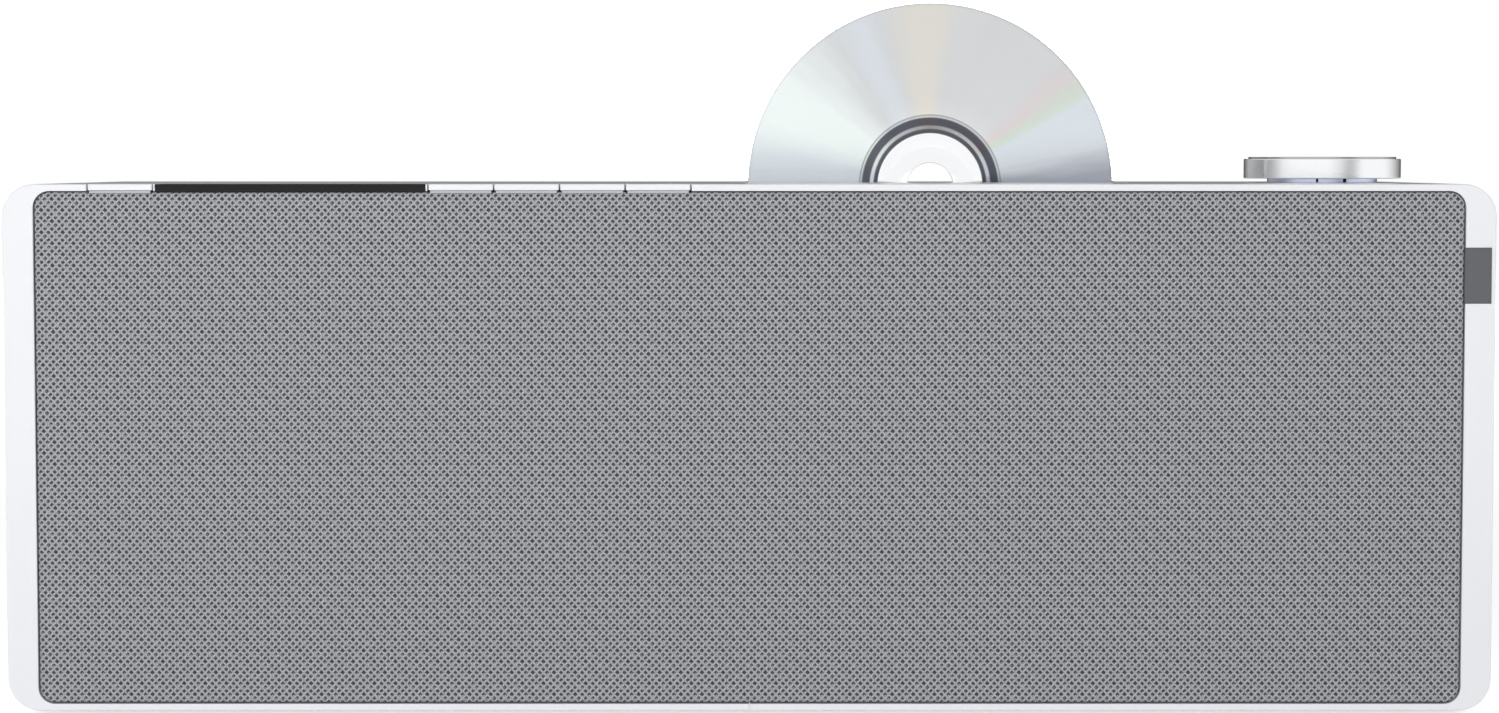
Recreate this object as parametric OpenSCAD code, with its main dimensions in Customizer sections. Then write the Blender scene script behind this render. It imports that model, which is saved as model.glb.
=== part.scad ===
// Slab-shaped desktop music player: a wrapped cabinet with a woven grille, a disc slot in the top,
// a row of keys and a display along the top front edge, and a large flat knob.
// Z is up, the front faces -Y, and the origin is at the centre of the footprint, under the feet.

/* [Cabinet] */
// Width of the cabinet
body_w = 450; // [400:1:560]
// Height of the cabinet above its feet
body_h = 159.7; // [156:0.1:200]
// Depth of the cabinet
body_d = 144; // [142:1:180]
// Outer corner radius of the wrapped sleeve
corner_r = 10; // [8:0.5:16]
// Thickness of the sleeve
wall = 2.1; // [1.6:0.1:2.6]
// Width of the light cheek on each side of the grille
cheek_w = 9.2; // [7:0.1:14]
// Depth of the cheeks, which is the depth of the recess that takes the grille
cheek_d = 8.5; // [8:0.1:10.5]
// Width of the butt seam at the middle of the bottom
seam_w = 0.3; // [0.2:0.1:0.6]
// Radius of the pinhole near the top front edge
pinhole_r = 0.5; // [0.3:0.1:0.8]
// Distance of the pinhole from the middle
pinhole_x = 133.3; // [100:0.1:150]

/* [Feet] */
// Height of the feet below the cabinet
foot_h = 1.5; // [1:0.1:4]
// Radius of a foot
foot_r = 9; // [6:0.5:12]
// Radius of the stub that holds a foot in the bottom
foot_stub_r = 3; // [2:0.5:4]
// Distance of a foot's middle from the side of the cabinet
foot_side = 30; // [20:1:60]
// Distance of a foot's middle from the front and the back
foot_end = 20; // [14:1:40]

/* [Grille] */
// Corner radius of the opening that takes the grille
opening_r = 5; // [3:0.5:8]
// Gap between the grille and the opening
grille_gap = 0.5; // [0.3:0.1:0.8]
// Distance of the cloth behind the cabinet's front
grille_set = 0.3; // [0.2:0.1:0.8]
// Gap between the grille frame's back and the baffle
grille_play = 0.5; // [0.3:0.1:0.9]
// Thickness of the cloth
cloth_t = 0.8; // [0.5:0.1:1.2]
// Width of the cloth's wrap on the frame's sides
cloth_wrap = 6; // [4:0.5:7]
// Width of the frame's rails
frame_rail = 8; // [5:0.5:12]
// Radius of a frame peg
peg_r = 2; // [1.5:0.1:3]
// Distance of the outer pegs from the cabinet's side
peg_side = 18; // [16:0.5:22]

/* [Tag] */
// Width of the flap on the right cheek
tag_w = 7.7; // [5:0.1:8.5]
// Height of the flap
tag_h = 16.9; // [10:0.1:30]
// Thickness of the folded strip
tag_t = 0.35; // [0.2:0.05:0.4]
// Distance of the flap's top below the cabinet's top
tag_drop = 19.1; // [12:0.1:60]

/* [Keys and display] */
// Distance of the row's first gap from the left side
row_side = 25.6; // [16:0.1:40]
// Distance from one key to the next
key_pitch = 19.8; // [16:0.1:22]
// Space that the display takes in the row
display_pitch = 82.8; // [60:0.1:90]
// Gap between neighbours in the row
key_gap = 0.4; // [0.35:0.05:0.6]
// Depth of a key from the front
key_d = 15; // [14.5:0.5:18]
// Height of a key's front face
key_h = 1.9; // [1.5:0.1:2]
// Travel of a key
key_travel = 0.3; // [0.2:0.05:0.3]
// Distance of a key's stem from the front
key_stem_y = 13; // [12.5:0.1:13.5]
// Radius of a key's stem
key_stem_r = 1.4; // [1:0.1:2]
// Width of the light rib round the display's lens
bezel_t = 0.45; // [0.3:0.05:0.8]
// Height of the lens at the front
lens_h = 2.3; // [2:0.1:2.3]
// Depth of the control board's top below the cabinet's top
board_drop = 10; // [9:0.5:12]
// Depth of the control board from front to back
board_d = 16; // [14:0.5:22]
// Thickness of the boards
pcb_t = 1.6; // [1:0.1:2]
// Side of a switch under a key
switch_w = 6; // [5:0.5:6]
// Height of a switch with its plunger
switch_h = 4.3; // [3.5:0.1:5]

/* [Disc and slot] */
// Radius of the disc, a standard size
disc_r = 60; // [60:1:60]
// Thickness of the disc
disc_t = 1.2; // [1.1:0.1:1.3]
// Radius of the disc's hole
disc_hole_r = 7.5; // [7.5:0.1:7.5]
// Distance of the disc from the middle of the cabinet
disc_x = 59; // [50:1:64]
// Distance of the disc behind the front
disc_setback = 88; // [86:0.5:92]
// Depth of the disc's middle below the top when it is half out
disc_drop = 1.1; // [0:0.1:4]
// Way from half out to the playing place
insert_travel = 76; // [76:0.5:80]
// Width of the slot
slot_w = 124; // [123:0.5:128]
// Clear opening of the slot from front to back
slot_open = 3.5; // [3:0.1:4]
// Thickness of the slot's felt lips
felt_t = 0.8; // [0.5:0.05:0.9]
// Depth of the slot's liner below the top
liner_d = 6; // [5:0.1:6]
// Width of the liner's rim
liner_rim = 3; // [2:0.1:3]

/* [Knob] */
// Distance of the knob from the right side
knob_side = 37.8; // [32:0.1:50]
// Radius of the knob
knob_r = 25.65; // [22:0.05:28]
// Height of the knob's lower edge above the top
knob_lift = 1.3; // [1.1:0.1:3]
// Height of the knob, with its cap
knob_h = 7; // [6:0.1:12]
// Height of the cap's step
cap_h = 0.65; // [0.4:0.05:1]
// Inset of the cap from the knob's edge
cap_inset = 1.5; // [1:0.1:3]
// Wall of the hollow knob
knob_wall = 3; // [2:0.1:5]
// Radius of the collar under the knob
collar_r = 18; // [14:0.1:18.5]
// Width of the collar's ring
collar_w = 6; // [3:0.1:7]
// Radius of the control's shaft
shaft_r = 3; // [2.5:0.1:3.5]
// Radius of the threaded bush round the shaft
bush_r = 4.5; // [4:0.1:5]
// Side of the control's case
control_w = 12; // [11:0.5:16]
// Depth of the control's case
control_h = 6.5; // [5:0.5:10]

/* [Speakers] */
// Distance of a woofer's middle from the side
woofer_side = 107; // [100:1:112]
// Height of the woofers above the cabinet's base
woofer_z = 76.5; // [70:0.5:80]
// Radius of a woofer's mounting rim
rim_r = 55; // [54:0.5:56]
// Radius of the woofer's roll surround
roll_r = 46.5; // [44:0.5:47]
// Radius of the cone at its mouth
cone_r = 40; // [36:0.5:40]
// Radius of the coil's former
former_r = 13.6; // [12:0.1:15]
// Radius of the magnet
magnet_r = 32; // [28:0.5:36]
// Depth of a woofer behind the baffle
woofer_d = 50; // [48:0.5:56]
// Distance of a tweeter's middle from the side
tweeter_side = 37; // [34:0.5:40]
// Height of the tweeters above the cabinet's base
tweeter_z = 114; // [110:1:118]
// Radius of a tweeter's plate
tweeter_r = 22; // [18:0.5:22]
// Radius of a tweeter's dome
dome_r = 10; // [8:0.5:12]
// Thickness of the baffle
baffle_t = 4; // [3:0.1:6]

/* [Disc mechanism] */
// Half the width of the mechanism's frame
mech_half = 68; // [66:0.5:70]
// Thickness of the frame's sheet
mech_t = 2; // [1.5:0.1:2]
// Depth of the frame in front of the disc
mech_front = 12; // [12:0.5:14]
// Depth of the frame behind the disc
mech_back = 30; // [30:0.5:36]
// Depth of the frame's top edge below the cabinet's top
mech_drop = 4.5; // [4.5:0.1:6]
// Height of the frame
mech_h = 136; // [134:1:138]
// Radius of the clamping puck
puck_r = 13; // [11:0.5:14]
// Height of the clamp bridge
bridge_h = 26; // [22:1:40]
// Radius of the turntable
turntable_r = 14; // [12:0.5:14]
// Lift of the deck that clamps the disc
lift_travel = 3; // [2.5:0.1:3]
// Distance of the lens from the spindle at its innermost place
lens_in = 24; // [23:0.5:25]
// Travel of the pickup
sled_travel = 34; // [30:0.5:34]
// Radius of the guide rods
rod_r = 1.5; // [1:0.1:2]
// Distance of a guide rod from the spindle's level
rod_gap = 21; // [18:0.5:24]
// Distance of the lead screw below the spindle's level
screw_drop = 32; // [29:0.5:34]
// Radius of the spindle motor
motor_r = 9; // [7:0.5:9.5]

/* [Loading drive] */
// Radius of the feed roller at its ends
roller_r = 4; // [3.5:0.1:4]
// Waist of the feed roller, taken off its radius in the middle
roller_waist = 0.6; // [0.2:0.1:1]
// Length of the feed roller
roller_l = 112; // [100:1:116]
// Depth of the feed roller's middle below the top
roller_drop = 11.5; // [11.5:0.1:12]
// Radius of the belt groove on the roller's shaft
pulley_r = 5.8; // [5:0.1:6]
// Radius of the belt groove on the motor
pinion_r = 1.8; // [1.5:0.1:2.5]
// Width and height of the belt
belt_t = 1; // [0.8:0.1:1]
// Depth of the motor's middle below the top
loader_drop = 32.5; // [30:0.5:33]
// Distance of the loading motor's middle behind the disc
loader_back = 18; // [16:0.5:20]
// Radius of the loading motor
loader_r = 8; // [6:0.5:8]

/* [Back] */
// Thickness of the rear cover
cover_t = 3; // [2:0.1:4]
// Distance of the cover's face inside the sleeve's rear edge
cover_set = 0.5; // [0.2:0.1:2]
// Gap round the cover
cover_gap = 0.4; // [0.3:0.1:0.8]
// Radius of the screws
screw_r = 1.5; // [1.2:0.1:2]
// Radius of the bosses that take the cover's screws
boss_r = 5; // [4.5:0.1:6]
// Distance of the corner screws from the cavity's side
corner_screw = 14; // [12:1:20]
// Distance of the inner screws from the middle
middle_screw = 71; // [65:1:80]
// Spacing of the four wall-fixing inserts, across and up
fixing_pitch = 100; // [75:25:100]
// Radius of the thread in an insert, for a 4 mm screw
fixing_r = 2; // [1.5:0.1:2.5]
// Outer radius of an insert
insert_r = 3; // [2.8:0.1:4]
// Length of an insert
insert_l = 8; // [6:0.5:10]
// Distance of the bass port from the left side
port_side = 105; // [95:1:130]
// Height of the bass port above the base
port_z = 93; // [85:1:100]
// Inner radius of the bass port
port_r = 17; // [14:0.5:20]
// Length of the bass port
port_l = 60; // [30:1:60]
// Distance of the main board in front of the cover
main_gap = 13; // [12.5:0.5:14]
// Height of the row of sockets above the base
socket_z = 33; // [26:1:36]
// Radius of the audio jack's bore
jack_r = 1.8; // [1.75:0.05:1.85]

/* [Clearances] */
// Radial running clearance of shafts and pins
run_gap = 0.05; // [0.02:0.01:0.09]
// Gap between pieces that only pass each other
pass_gap = 0.3; // [0.3:0.05:0.5]
// Gap between fixed pieces that slot into each other
slip_gap = 0.2; // [0.1:0.05:0.3]

/* [Hidden] */
$fn = 64;
cut = 1;

// Planes of the cabinet
y_front = -body_d / 2;
y_back = body_d / 2;
z_base = foot_h;
z_top = foot_h + body_h;
z_mid = (z_base + z_top) / 2;
x_side = body_w / 2;
z_roof = z_top - wall;
z_floor = z_base + wall;
cavity_w = body_w - 2 * wall;
cavity_r = corner_r - wall;
opening_w = body_w - 2 * cheek_w;

// Planes of the grille, the baffle and the cover
y_cloth = y_front + grille_set;
y_frame = y_cloth + cloth_t;
y_baffle = y_front + cheek_d;
y_grille_back = y_baffle - grille_play;
y_baffle_back = y_baffle + baffle_t;
y_cover_out = y_back - cover_set;
y_cover_in = y_cover_out - cover_t;
y_main = y_cover_in - main_gap;

// Row of keys and display: the lines of the gaps, from left to right
row_x = -x_side + row_side;
gaps_x = [
    row_x,
    row_x + key_pitch,
    for (i = [0:4]) row_x + key_pitch + display_pitch + i * key_pitch
];
row_end = gaps_x[6];
key_starts = [gaps_x[0], gaps_x[2], gaps_x[3], gaps_x[4], gaps_x[5]];
key_w = key_pitch - key_gap;
display_x = gaps_x[1] + key_gap / 2;
display_w = display_pitch - key_gap;
y_stem = y_front + key_stem_y;
z_board = z_top - board_drop;
y_board = y_grille_back + 1;
z_switch = z_board + switch_h;

// Disc, spindle and mechanism
y_disc = y_front + disc_setback;
z_disc = z_top - disc_drop;
z_spindle = z_disc - insert_travel;
y_disc_back = y_disc + disc_t / 2;
y_disc_front = y_disc - disc_t / 2;
mech_left = disc_x - mech_half;
mech_right = disc_x + mech_half;
y_mech_front = y_disc - mech_front;
y_mech_back = y_disc + mech_back;
z_mech_top = z_top - mech_drop;
z_mech_low = z_mech_top - mech_h;
y_turntable = y_disc_back + lift_travel + pass_gap;
turntable_t = 3;
boss_front = y_disc_back + pass_gap;
hub_boss_r = disc_hole_r - slip_gap;
y_deck = y_turntable + turntable_t + 1;
deck_t = 2;
deck_left = disc_x - 26;
deck_right = mech_right - mech_t - 1;
deck_up = 35;
deck_down = 47;
post_r = 2;
post_xs = [deck_left + 5, deck_right - 6];
post_zs = [30, -42];
y_rods = y_deck + deck_t + 5;
sled_front = y_deck + deck_t + 1;
sled_t = 9;
sled_in = 12;
sled_out = 4;
bracket_t = 2.5;
bracket_left = disc_x + lens_in - sled_in - 1 - bracket_t;
bracket_right = disc_x + lens_in + sled_travel + sled_out + 0.5;

// Loading drive
y_roller = y_disc_back + roller_r + run_gap;
z_roller = z_top - roller_drop;
y_loader = y_disc + loader_back;
z_loader = z_top - loader_drop;
belt_x = mech_left - 3.5;
groove_w = belt_t + 0.8;
journal_r = 1.5;

// Knob
knob_x = x_side - knob_side;
z_knob = z_top + knob_lift;
recess_h = 0.7;

// Mechanism dampers: two tabs on each side of the frame
tab_w = 10;
tab_d = 8;
tab_z = z_mech_top - 10;
damper_r = 4;
damper_neck_r = 2.5;
damper_h = 3.4;
tab_xs = [mech_left - tab_w / 2, mech_right + tab_w / 2];
tab_ys = [y_mech_front + tab_d / 2, y_mech_back - tab_d / 2];

// Places of the screws and pegs
boss_in = boss_r - 1;
cover_screws = [
    for (x = [-1, 1] * (cavity_w / 2 - corner_screw), z = [z_floor + boss_in, z_roof - boss_in]) [x, z],
    for (x = [-1, 1] * middle_screw, z = [z_floor + boss_in, z_roof - boss_in]) [x, z]
];
peg_x = x_side - peg_side;
pegs = concat(
    [for (s = [-1, 1], z = [-55, 55]) [s * peg_x, z_mid + z]],
    [for (z = [-1, 1]) [0, z_mid + z * (body_h / 2 - wall - grille_gap - cloth_t - frame_rail / 2)]]
);
woofer_x = x_side - woofer_side;
tweeter_x = x_side - tweeter_side;
rim_hole_r = (rim_r + roll_r + 2.1) / 2;
board_posts = [for (i = [0, 1, 4]) key_starts[i] + key_pitch / 2];
fixings = [for (sx = [-1, 1], sz = [-1, 1]) [sx * fixing_pitch / 2, z_mid + sz * fixing_pitch / 2]];
main_left = 20;
main_w = 180;
main_low = z_base + 12;
main_h = 96;
main_posts = [for (x = [12, main_w - 8], z = [8, main_h - 8]) [main_left + x, main_low + z]];
inlet_x = main_left + 160;
network_x = main_left + 125;
jack_x = main_left + 100;
z_sockets = z_base + socket_z;
port_x = -x_side + port_side;
inlet_d = cover_t + main_gap - pcb_t;

// ---- Shapes shared by several pieces ----

// Rounded rectangle on its centre, from true arcs
module rounded_rect(w, h, r) {
    square([w - 2 * r, h], center = true);
    square([w, h - 2 * r], center = true);
    for (sx = [-1, 1], sy = [-1, 1])
        translate([sx * (w / 2 - r), sy * (h / 2 - r)]) circle(r = r);
}

// Upright slab with rounded corners, centred on X, from plane y0 to plane y1
module slab(w, z0, z1, r, y0, y1) {
    translate([0, y1, (z0 + z1) / 2])
        rotate([90, 0, 0])
            linear_extrude(y1 - y0) rounded_rect(w, z1 - z0, r);
}

// Box between two corners
module box(a, b) {
    translate(a) cube(b - a);
}

// Round bars along X and along Y
module bar_x(r, x0, x1) {
    translate([x0, 0, 0]) rotate([0, 90, 0]) cylinder(r = r, h = x1 - x0);
}
module bar_y(r, y0, y1) {
    translate([0, y0, 0]) rotate([-90, 0, 0]) cylinder(r = r, h = y1 - y0);
}

// Outline of [radius, distance] points turned about the Y axis, or about the X axis
module turned_y(points) {
    rotate([-90, 0, 0]) rotate_extrude() polygon(points);
}
module turned_x(points) {
    rotate([0, 90, 0]) rotate_extrude() polygon(points);
}

// ---- Cabinet ----

module cabinet() color("gainsboro") {
    difference() {
        union() {
            difference() {
                slab(body_w, z_base, z_top, corner_r, y_front, y_back);
                slab(cavity_w, z_floor, z_roof, cavity_r, y_baffle, y_back + cut);
                slab(opening_w, z_floor, z_roof, opening_r, y_front - cut, y_baffle + cut);
            }
            // Bosses for the rear cover
            for (p = cover_screws)
                translate([p[0], 0, p[1]]) bar_y(boss_r, y_cover_in - 12, y_cover_in);
            // Posts that carry the mechanism's dampers and the control board
            for (x = tab_xs, y = tab_ys)
                translate([x, y, tab_z + mech_t + damper_h])
                    cylinder(r = damper_r, h = z_roof + wall / 2 - tab_z - mech_t - damper_h);
            for (x = board_posts)
                translate([x, y_board + board_d - 4, z_board])
                    cylinder(r = 2.5, h = z_roof + wall / 2 - z_board);
        }
        // Butt seam of the sleeve
        box([-seam_w / 2, y_front - cut, z_base - cut], [seam_w / 2, y_back + cut, z_floor + 0.01]);
        // Notch for the row of keys and the display
        box([row_x - key_gap / 2, y_front - cut, z_roof - cut],
            [row_end + key_gap / 2, y_front + key_d + key_gap, z_top + cut]);
        // Slot for the liner, hole for the knob's bush, pinhole and holes for the feet
        translate([disc_x, y_disc, z_roof - cut])
            linear_extrude(wall + 2 * cut)
                square([slot_w + 2 * liner_rim + slip_gap, liner_y + slip_gap], center = true);
        translate([knob_x, y_disc, z_roof - cut]) cylinder(r = bush_r + slip_gap, h = wall + 2 * cut);
        translate([pinhole_x, y_front + 1.2, z_roof - cut]) cylinder(r = pinhole_r, h = wall + 2 * cut);
        feet_places() translate([0, 0, -cut]) cylinder(r = foot_stub_r, h = wall + 2 * cut);
        for (p = cover_screws)
            translate([p[0], 0, p[1]]) bar_y(screw_r, y_cover_in - 9, y_cover_in + cut);
    }
}

// Copies its child to the four feet, at the level of the cabinet's base
module feet_places() {
    for (sx = [-1, 1], sy = [-1, 1])
        translate([sx * (x_side - foot_side), sy * (body_d / 2 - foot_end), z_base]) children();
}

module rubber_feet() color("dimgray") feet_places() {
    translate([0, 0, -foot_h]) cylinder(r = foot_r, h = foot_h);
    translate([0, 0, -0.01]) cylinder(r = foot_stub_r - run_gap, h = wall + 0.01);
}

module rear_cover() color("lightgray") {
    difference() {
        union() {
            slab(cavity_w - 2 * cover_gap, z_floor + cover_gap, z_roof - cover_gap,
                 cavity_r - cover_gap, y_cover_in, y_cover_out);
            for (p = fixings)
                translate([p[0], 0, p[1]]) bar_y(insert_r + 2.5, y_cover_out - insert_l - 1, y_cover_out - 1);
            for (p = main_posts)
                translate([p[0], 0, p[1]]) bar_y(3, y_main + pcb_t, y_cover_out - 1);
        }
        for (p = cover_screws)
            translate([p[0], 0, p[1]]) {
                bar_y(screw_r + slip_gap, y_cover_in - cut, y_cover_out + cut);
                bar_y(2 * screw_r + slip_gap, y_cover_out - 1.6, y_cover_out + cut);
            }
        for (p = fixings)
            translate([p[0], 0, p[1]]) bar_y(insert_r, y_cover_out - insert_l, y_cover_out + cut);
        translate([port_x, 0, z_base + port_z]) bar_y(port_r + 2 + slip_gap, y_cover_in - cut, y_back);
        box([inlet_x - 13 - slip_gap, y_cover_in - cut, z_sockets - 8 - slip_gap],
            [inlet_x + 13 + slip_gap, y_back, z_sockets + 8 + slip_gap]);
        box([network_x - 8 - slip_gap, y_cover_in - cut, z_sockets - 6.8 - slip_gap],
            [network_x + 8 + slip_gap, y_back, z_sockets + 6.8 + slip_gap]);
        translate([jack_x, 0, z_sockets]) bar_y(4 + slip_gap, y_cover_in - cut, y_back);
        // Cooling slits behind the amplifier
        for (i = [0:8])
            box([main_left + 122 + 6 * i, y_cover_in - cut, main_low + main_h + 8],
                [main_left + 124 + 6 * i, y_back, main_low + main_h + 28]);
    }
}

module rear_screws() color("dimgray") {
    for (p = cover_screws)
        translate([p[0], y_cover_out - 1.6, p[1]]) {
            bar_y(screw_r - run_gap, -8, 0.01);
            bar_y(2 * screw_r, 0, 1.4);
        }
}

module wall_inserts() color("goldenrod") {
    for (p = fixings)
        translate([p[0], 0, p[1]])
            difference() {
                bar_y(insert_r, y_cover_out - insert_l, y_cover_out);
                bar_y(fixing_r, y_cover_out - insert_l + 1, y_cover_out + cut);
            }
}

// ---- Grille ----

module grille_cloth() color("silver") {
    w = opening_w - 2 * grille_gap;
    r = opening_r - grille_gap;
    difference() {
        slab(w, z_floor + grille_gap, z_roof - grille_gap, r, y_cloth, y_cloth + cloth_wrap);
        slab(w - 2 * cloth_t, z_floor + grille_gap + cloth_t, z_roof - grille_gap - cloth_t,
             r - cloth_t, y_frame, y_cloth + cloth_wrap + cut);
    }
}

module grille_frame() color("dimgray") {
    w = opening_w - 2 * grille_gap - 2 * cloth_t;
    z0 = z_floor + grille_gap + cloth_t;
    z1 = z_roof - grille_gap - cloth_t;
    difference() {
        slab(w, z0, z1, opening_r - grille_gap - cloth_t, y_frame, y_grille_back);
        slab(w - 2 * frame_rail, z0 + frame_rail, z1 - frame_rail, 1, y_frame - cut, y_grille_back + cut);
    }
    for (x = [-60, 60])
        box([x - 2, y_frame, z0 + frame_rail - 1], [x + 2, y_grille_back, z1 - frame_rail + 1]);
    for (p = pegs)
        translate([p[0], 0, p[1]]) bar_y(peg_r, y_grille_back - 1, y_baffle_back - 0.5);
}

// Blank strip: one end is caught beside the grille, the other lies flat on the right cheek
module fabric_tag() color("dimgray") {
    x0 = opening_w / 2 - grille_gap / 2 - tag_t / 2;
    z1 = z_top - tag_drop;
    box([x0, y_front - tag_t, z1 - tag_h], [x0 + tag_w, y_front, z1]);
    box([x0, y_front - 0.01, z1 - tag_h], [x0 + tag_t, y_front + 6, z1]);
}

// ---- Speakers ----

module baffle() color("dimgray") {
    difference() {
        slab(cavity_w - 2 * slip_gap, z_floor + slip_gap, z_roof - slip_gap, cavity_r - slip_gap,
             y_baffle, y_baffle_back);
        for (s = [-1, 1]) {
            translate([s * woofer_x, 0, z_base + woofer_z]) bar_y(roll_r, y_baffle - cut, y_baffle_back + cut);
            translate([s * tweeter_x, 0, z_base + tweeter_z])
                bar_y(dome_r + 3, y_baffle - cut, y_baffle_back + cut);
        }
        for (p = pegs)
            translate([p[0], 0, p[1]]) bar_y(peg_r + run_gap, y_baffle - cut, y_baffle_back + cut);
        for (p = speaker_screw_places)
            translate([p[0], 0, p[1]]) bar_y(screw_r, y_baffle + 1, y_baffle_back + cut);
        // Relief for the control board
        box([row_x - 5, y_baffle - cut, z_board - 4], [row_end + 5, y_baffle_back + cut, z_top]);
    }
}

speaker_screw_places = concat(
    [for (s = [-1, 1], a = [45:90:315])
        [s * woofer_x + rim_hole_r * cos(a), z_base + woofer_z + rim_hole_r * sin(a)]],
    [for (s = [-1, 1], a = [90, 270])
        [s * tweeter_x + (tweeter_r - 4) * cos(a), z_base + tweeter_z + (tweeter_r - 4) * sin(a)]]
);
rim_t = 3;
liner_y = slot_open + 2 * liner_rim;

module speaker_screws() color("dimgray") {
    for (p = speaker_screw_places)
        translate([p[0], y_baffle_back + rim_t, p[1]]) {
            bar_y(screw_r - run_gap, -rim_t - 2.5, 0.01);
            bar_y(1.6 * screw_r, 0, 1.6);
        }
}

// Pressed basket with four windows
module basket() color("dimgray") {
    d = woofer_d - 20;
    difference() {
        turned_y([
            [roll_r, 0], [rim_r, 0], [rim_r, rim_t], [roll_r + 2.1, rim_t],
            [magnet_r - 2, d - 3], [magnet_r - 2, d], [former_r + 1.4, d], [former_r + 1.4, d - 1.6],
            [magnet_r - 4, d - 1.6], [magnet_r - 4, d - 3], [roll_r, rim_t + 0.6]
        ]);
        for (a = [0, 90])
            rotate([0, a, 0]) box([-13, 8, -rim_r], [13, d - 6, rim_r]);
        for (a = [45:90:315])
            translate([rim_hole_r * cos(a), 0, rim_hole_r * sin(a)]) bar_y(screw_r + slip_gap, -cut, rim_t + cut);
    }
}

// Magnet and pole with the ring gap for the coil
module magnet() color("darkgray") {
    d = woofer_d - 20;
    turned_y([
        [0, d], [former_r - 1.6, d], [former_r - 1.6, d + 16], [former_r + 0.6, d + 16],
        [former_r + 0.6, d], [magnet_r, d], [magnet_r, woofer_d], [0, woofer_d]
    ]);
}

// Cone, dust cap and coil former in one piece
module cone() color("lightgray") {
    d = woofer_d - 20;
    turned_y([
        [0, 10.5], [6, 11.2], [11, 13], [former_r, 15.2], [cone_r, 1.2], [cone_r, 2.2],
        [former_r, 17], [former_r, d + 6], [former_r - 0.8, d + 6], [former_r - 0.8, 16.2],
        [10.5, 14], [6, 12.2], [0, 11.5]
    ]);
}

// Roll surround, and the corrugated spider behind it
module suspension() color("gray") {
    d = woofer_d - 20;
    r0 = cone_r + 0.1;
    r1 = roll_r - 0.1;
    rm = (r0 + r1) / 2;
    turned_y([
        [r0, 1.2], [r0 + 1, 0.2], [rm, -1.2], [r1 - 1, 0.2], [r1, 0.4],
        [r1, 2.2], [r1 - 1.1, 1.6], [rm, 0], [r0 + 1.1, 1.4], [r0, 2.2]
    ]);
    s0 = former_r + 0.1;
    step = (magnet_r - 3.4 - s0) / 12;
    turned_y(concat(
        [for (i = [0:12]) [s0 + step * i, d - 5.2 + 0.4 * sin(90 * i)]],
        [for (i = [12:-1:0]) [s0 + step * i, d - 4.7 + 0.4 * sin(90 * i)]]
    ));
}

// Copies its child behind the baffle, to the left (-1) or to the right (1)
module at_woofer(s) {
    translate([s * woofer_x, y_baffle_back, z_base + woofer_z]) children();
}
module basket_left() at_woofer(-1) basket();
module basket_right() at_woofer(1) basket();
module magnet_left() at_woofer(-1) magnet();
module magnet_right() at_woofer(1) magnet();
module cone_left() at_woofer(-1) cone();
module cone_right() at_woofer(1) cone();
module suspension_left() at_woofer(-1) suspension();
module suspension_right() at_woofer(1) suspension();

module tweeter() color("dimgray") {
    difference() {
        turned_y([
            [0, -2], [dome_r * 0.5, -1.6], [dome_r * 0.85, -0.6], [dome_r, 0], [tweeter_r, 0],
            [tweeter_r, rim_t], [tweeter_r - 7, rim_t], [tweeter_r - 7, 20], [0, 20]
        ]);
        for (s = [-1, 1])
            translate([0, 0, s * (tweeter_r - 4)]) bar_y(screw_r + slip_gap, -cut, rim_t + 1);
    }
}
module tweeter_left() translate([-tweeter_x, y_baffle_back, z_base + tweeter_z]) tweeter();
module tweeter_right() translate([tweeter_x, y_baffle_back, z_base + tweeter_z]) tweeter();

// ---- Keys and display ----

// One key: a cap in the notch and a stem over its switch
module key(i) color("gainsboro") {
    x0 = key_starts[i] + key_gap / 2;
    box([x0, y_front, z_top - key_h], [x0 + key_w, y_front + key_d, z_top]);
    translate([x0 + key_w / 2, y_stem, z_switch + key_travel + pass_gap])
        cylinder(r = key_stem_r, h = z_top - key_h / 2 - z_switch - key_travel - pass_gap);
}
module key_power() key(0);
module key_1() key(1);
module key_2() key(2);
module key_3() key(3);
module key_4() key(4);

module display_bezel() color("gainsboro") {
    difference() {
        box([display_x, y_front, z_roof], [display_x + display_w, y_front + key_d, z_top]);
        box([display_x + bezel_t, y_front - cut, z_roof - cut],
            [display_x + display_w - bezel_t, y_front + key_d - bezel_t, z_top + cut]);
    }
}

module display_lens() color("black") {
    box([display_x + bezel_t, y_front, z_top - lens_h],
        [display_x + display_w - bezel_t, y_front + key_d - bezel_t, z_top]);
}

module display_module() color("darkslategray") {
    box([display_x + 2, y_board + 0.5, z_board],
        [display_x + display_w - 2, y_board + board_d - 2, z_top - lens_h - pass_gap]);
}

module control_board() color("seagreen") {
    box([row_x, y_board, z_board - pcb_t], [row_end, y_board + board_d, z_board]);
    for (x = key_starts)
        translate([x + key_pitch / 2, y_stem, z_board - 0.01]) {
            translate([-switch_w / 2, -switch_w / 2, 0]) cube([switch_w, switch_w, switch_h - 0.8]);
            cylinder(r = key_stem_r + 0.3, h = switch_h + 0.01);
        }
}

// ---- Knob ----

// Copies its child to the knob's axis, at the level of the cabinet's top
module at_knob() {
    translate([knob_x, y_disc, z_top]) children();
}

module knob_body() color("silver") at_knob() {
    hub_r = shaft_r + 3;
    roof = knob_lift + knob_h - cap_h;
    difference() {
        translate([0, 0, knob_lift]) cylinder(r = knob_r, h = knob_h - cap_h);
        translate([0, 0, knob_lift - cut]) cylinder(r = collar_r + 0.6, h = recess_h + cut);
        translate([0, 0, knob_lift])
            difference() {
                cylinder(r = knob_r - knob_wall, h = roof - knob_lift - 1.5);
                translate([0, 0, recess_h]) cylinder(r = hub_r, h = knob_h);
                rim_lip();
            }
        cylinder(r = shaft_r + run_gap / 2, h = roof - 1);
    }
}

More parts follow.
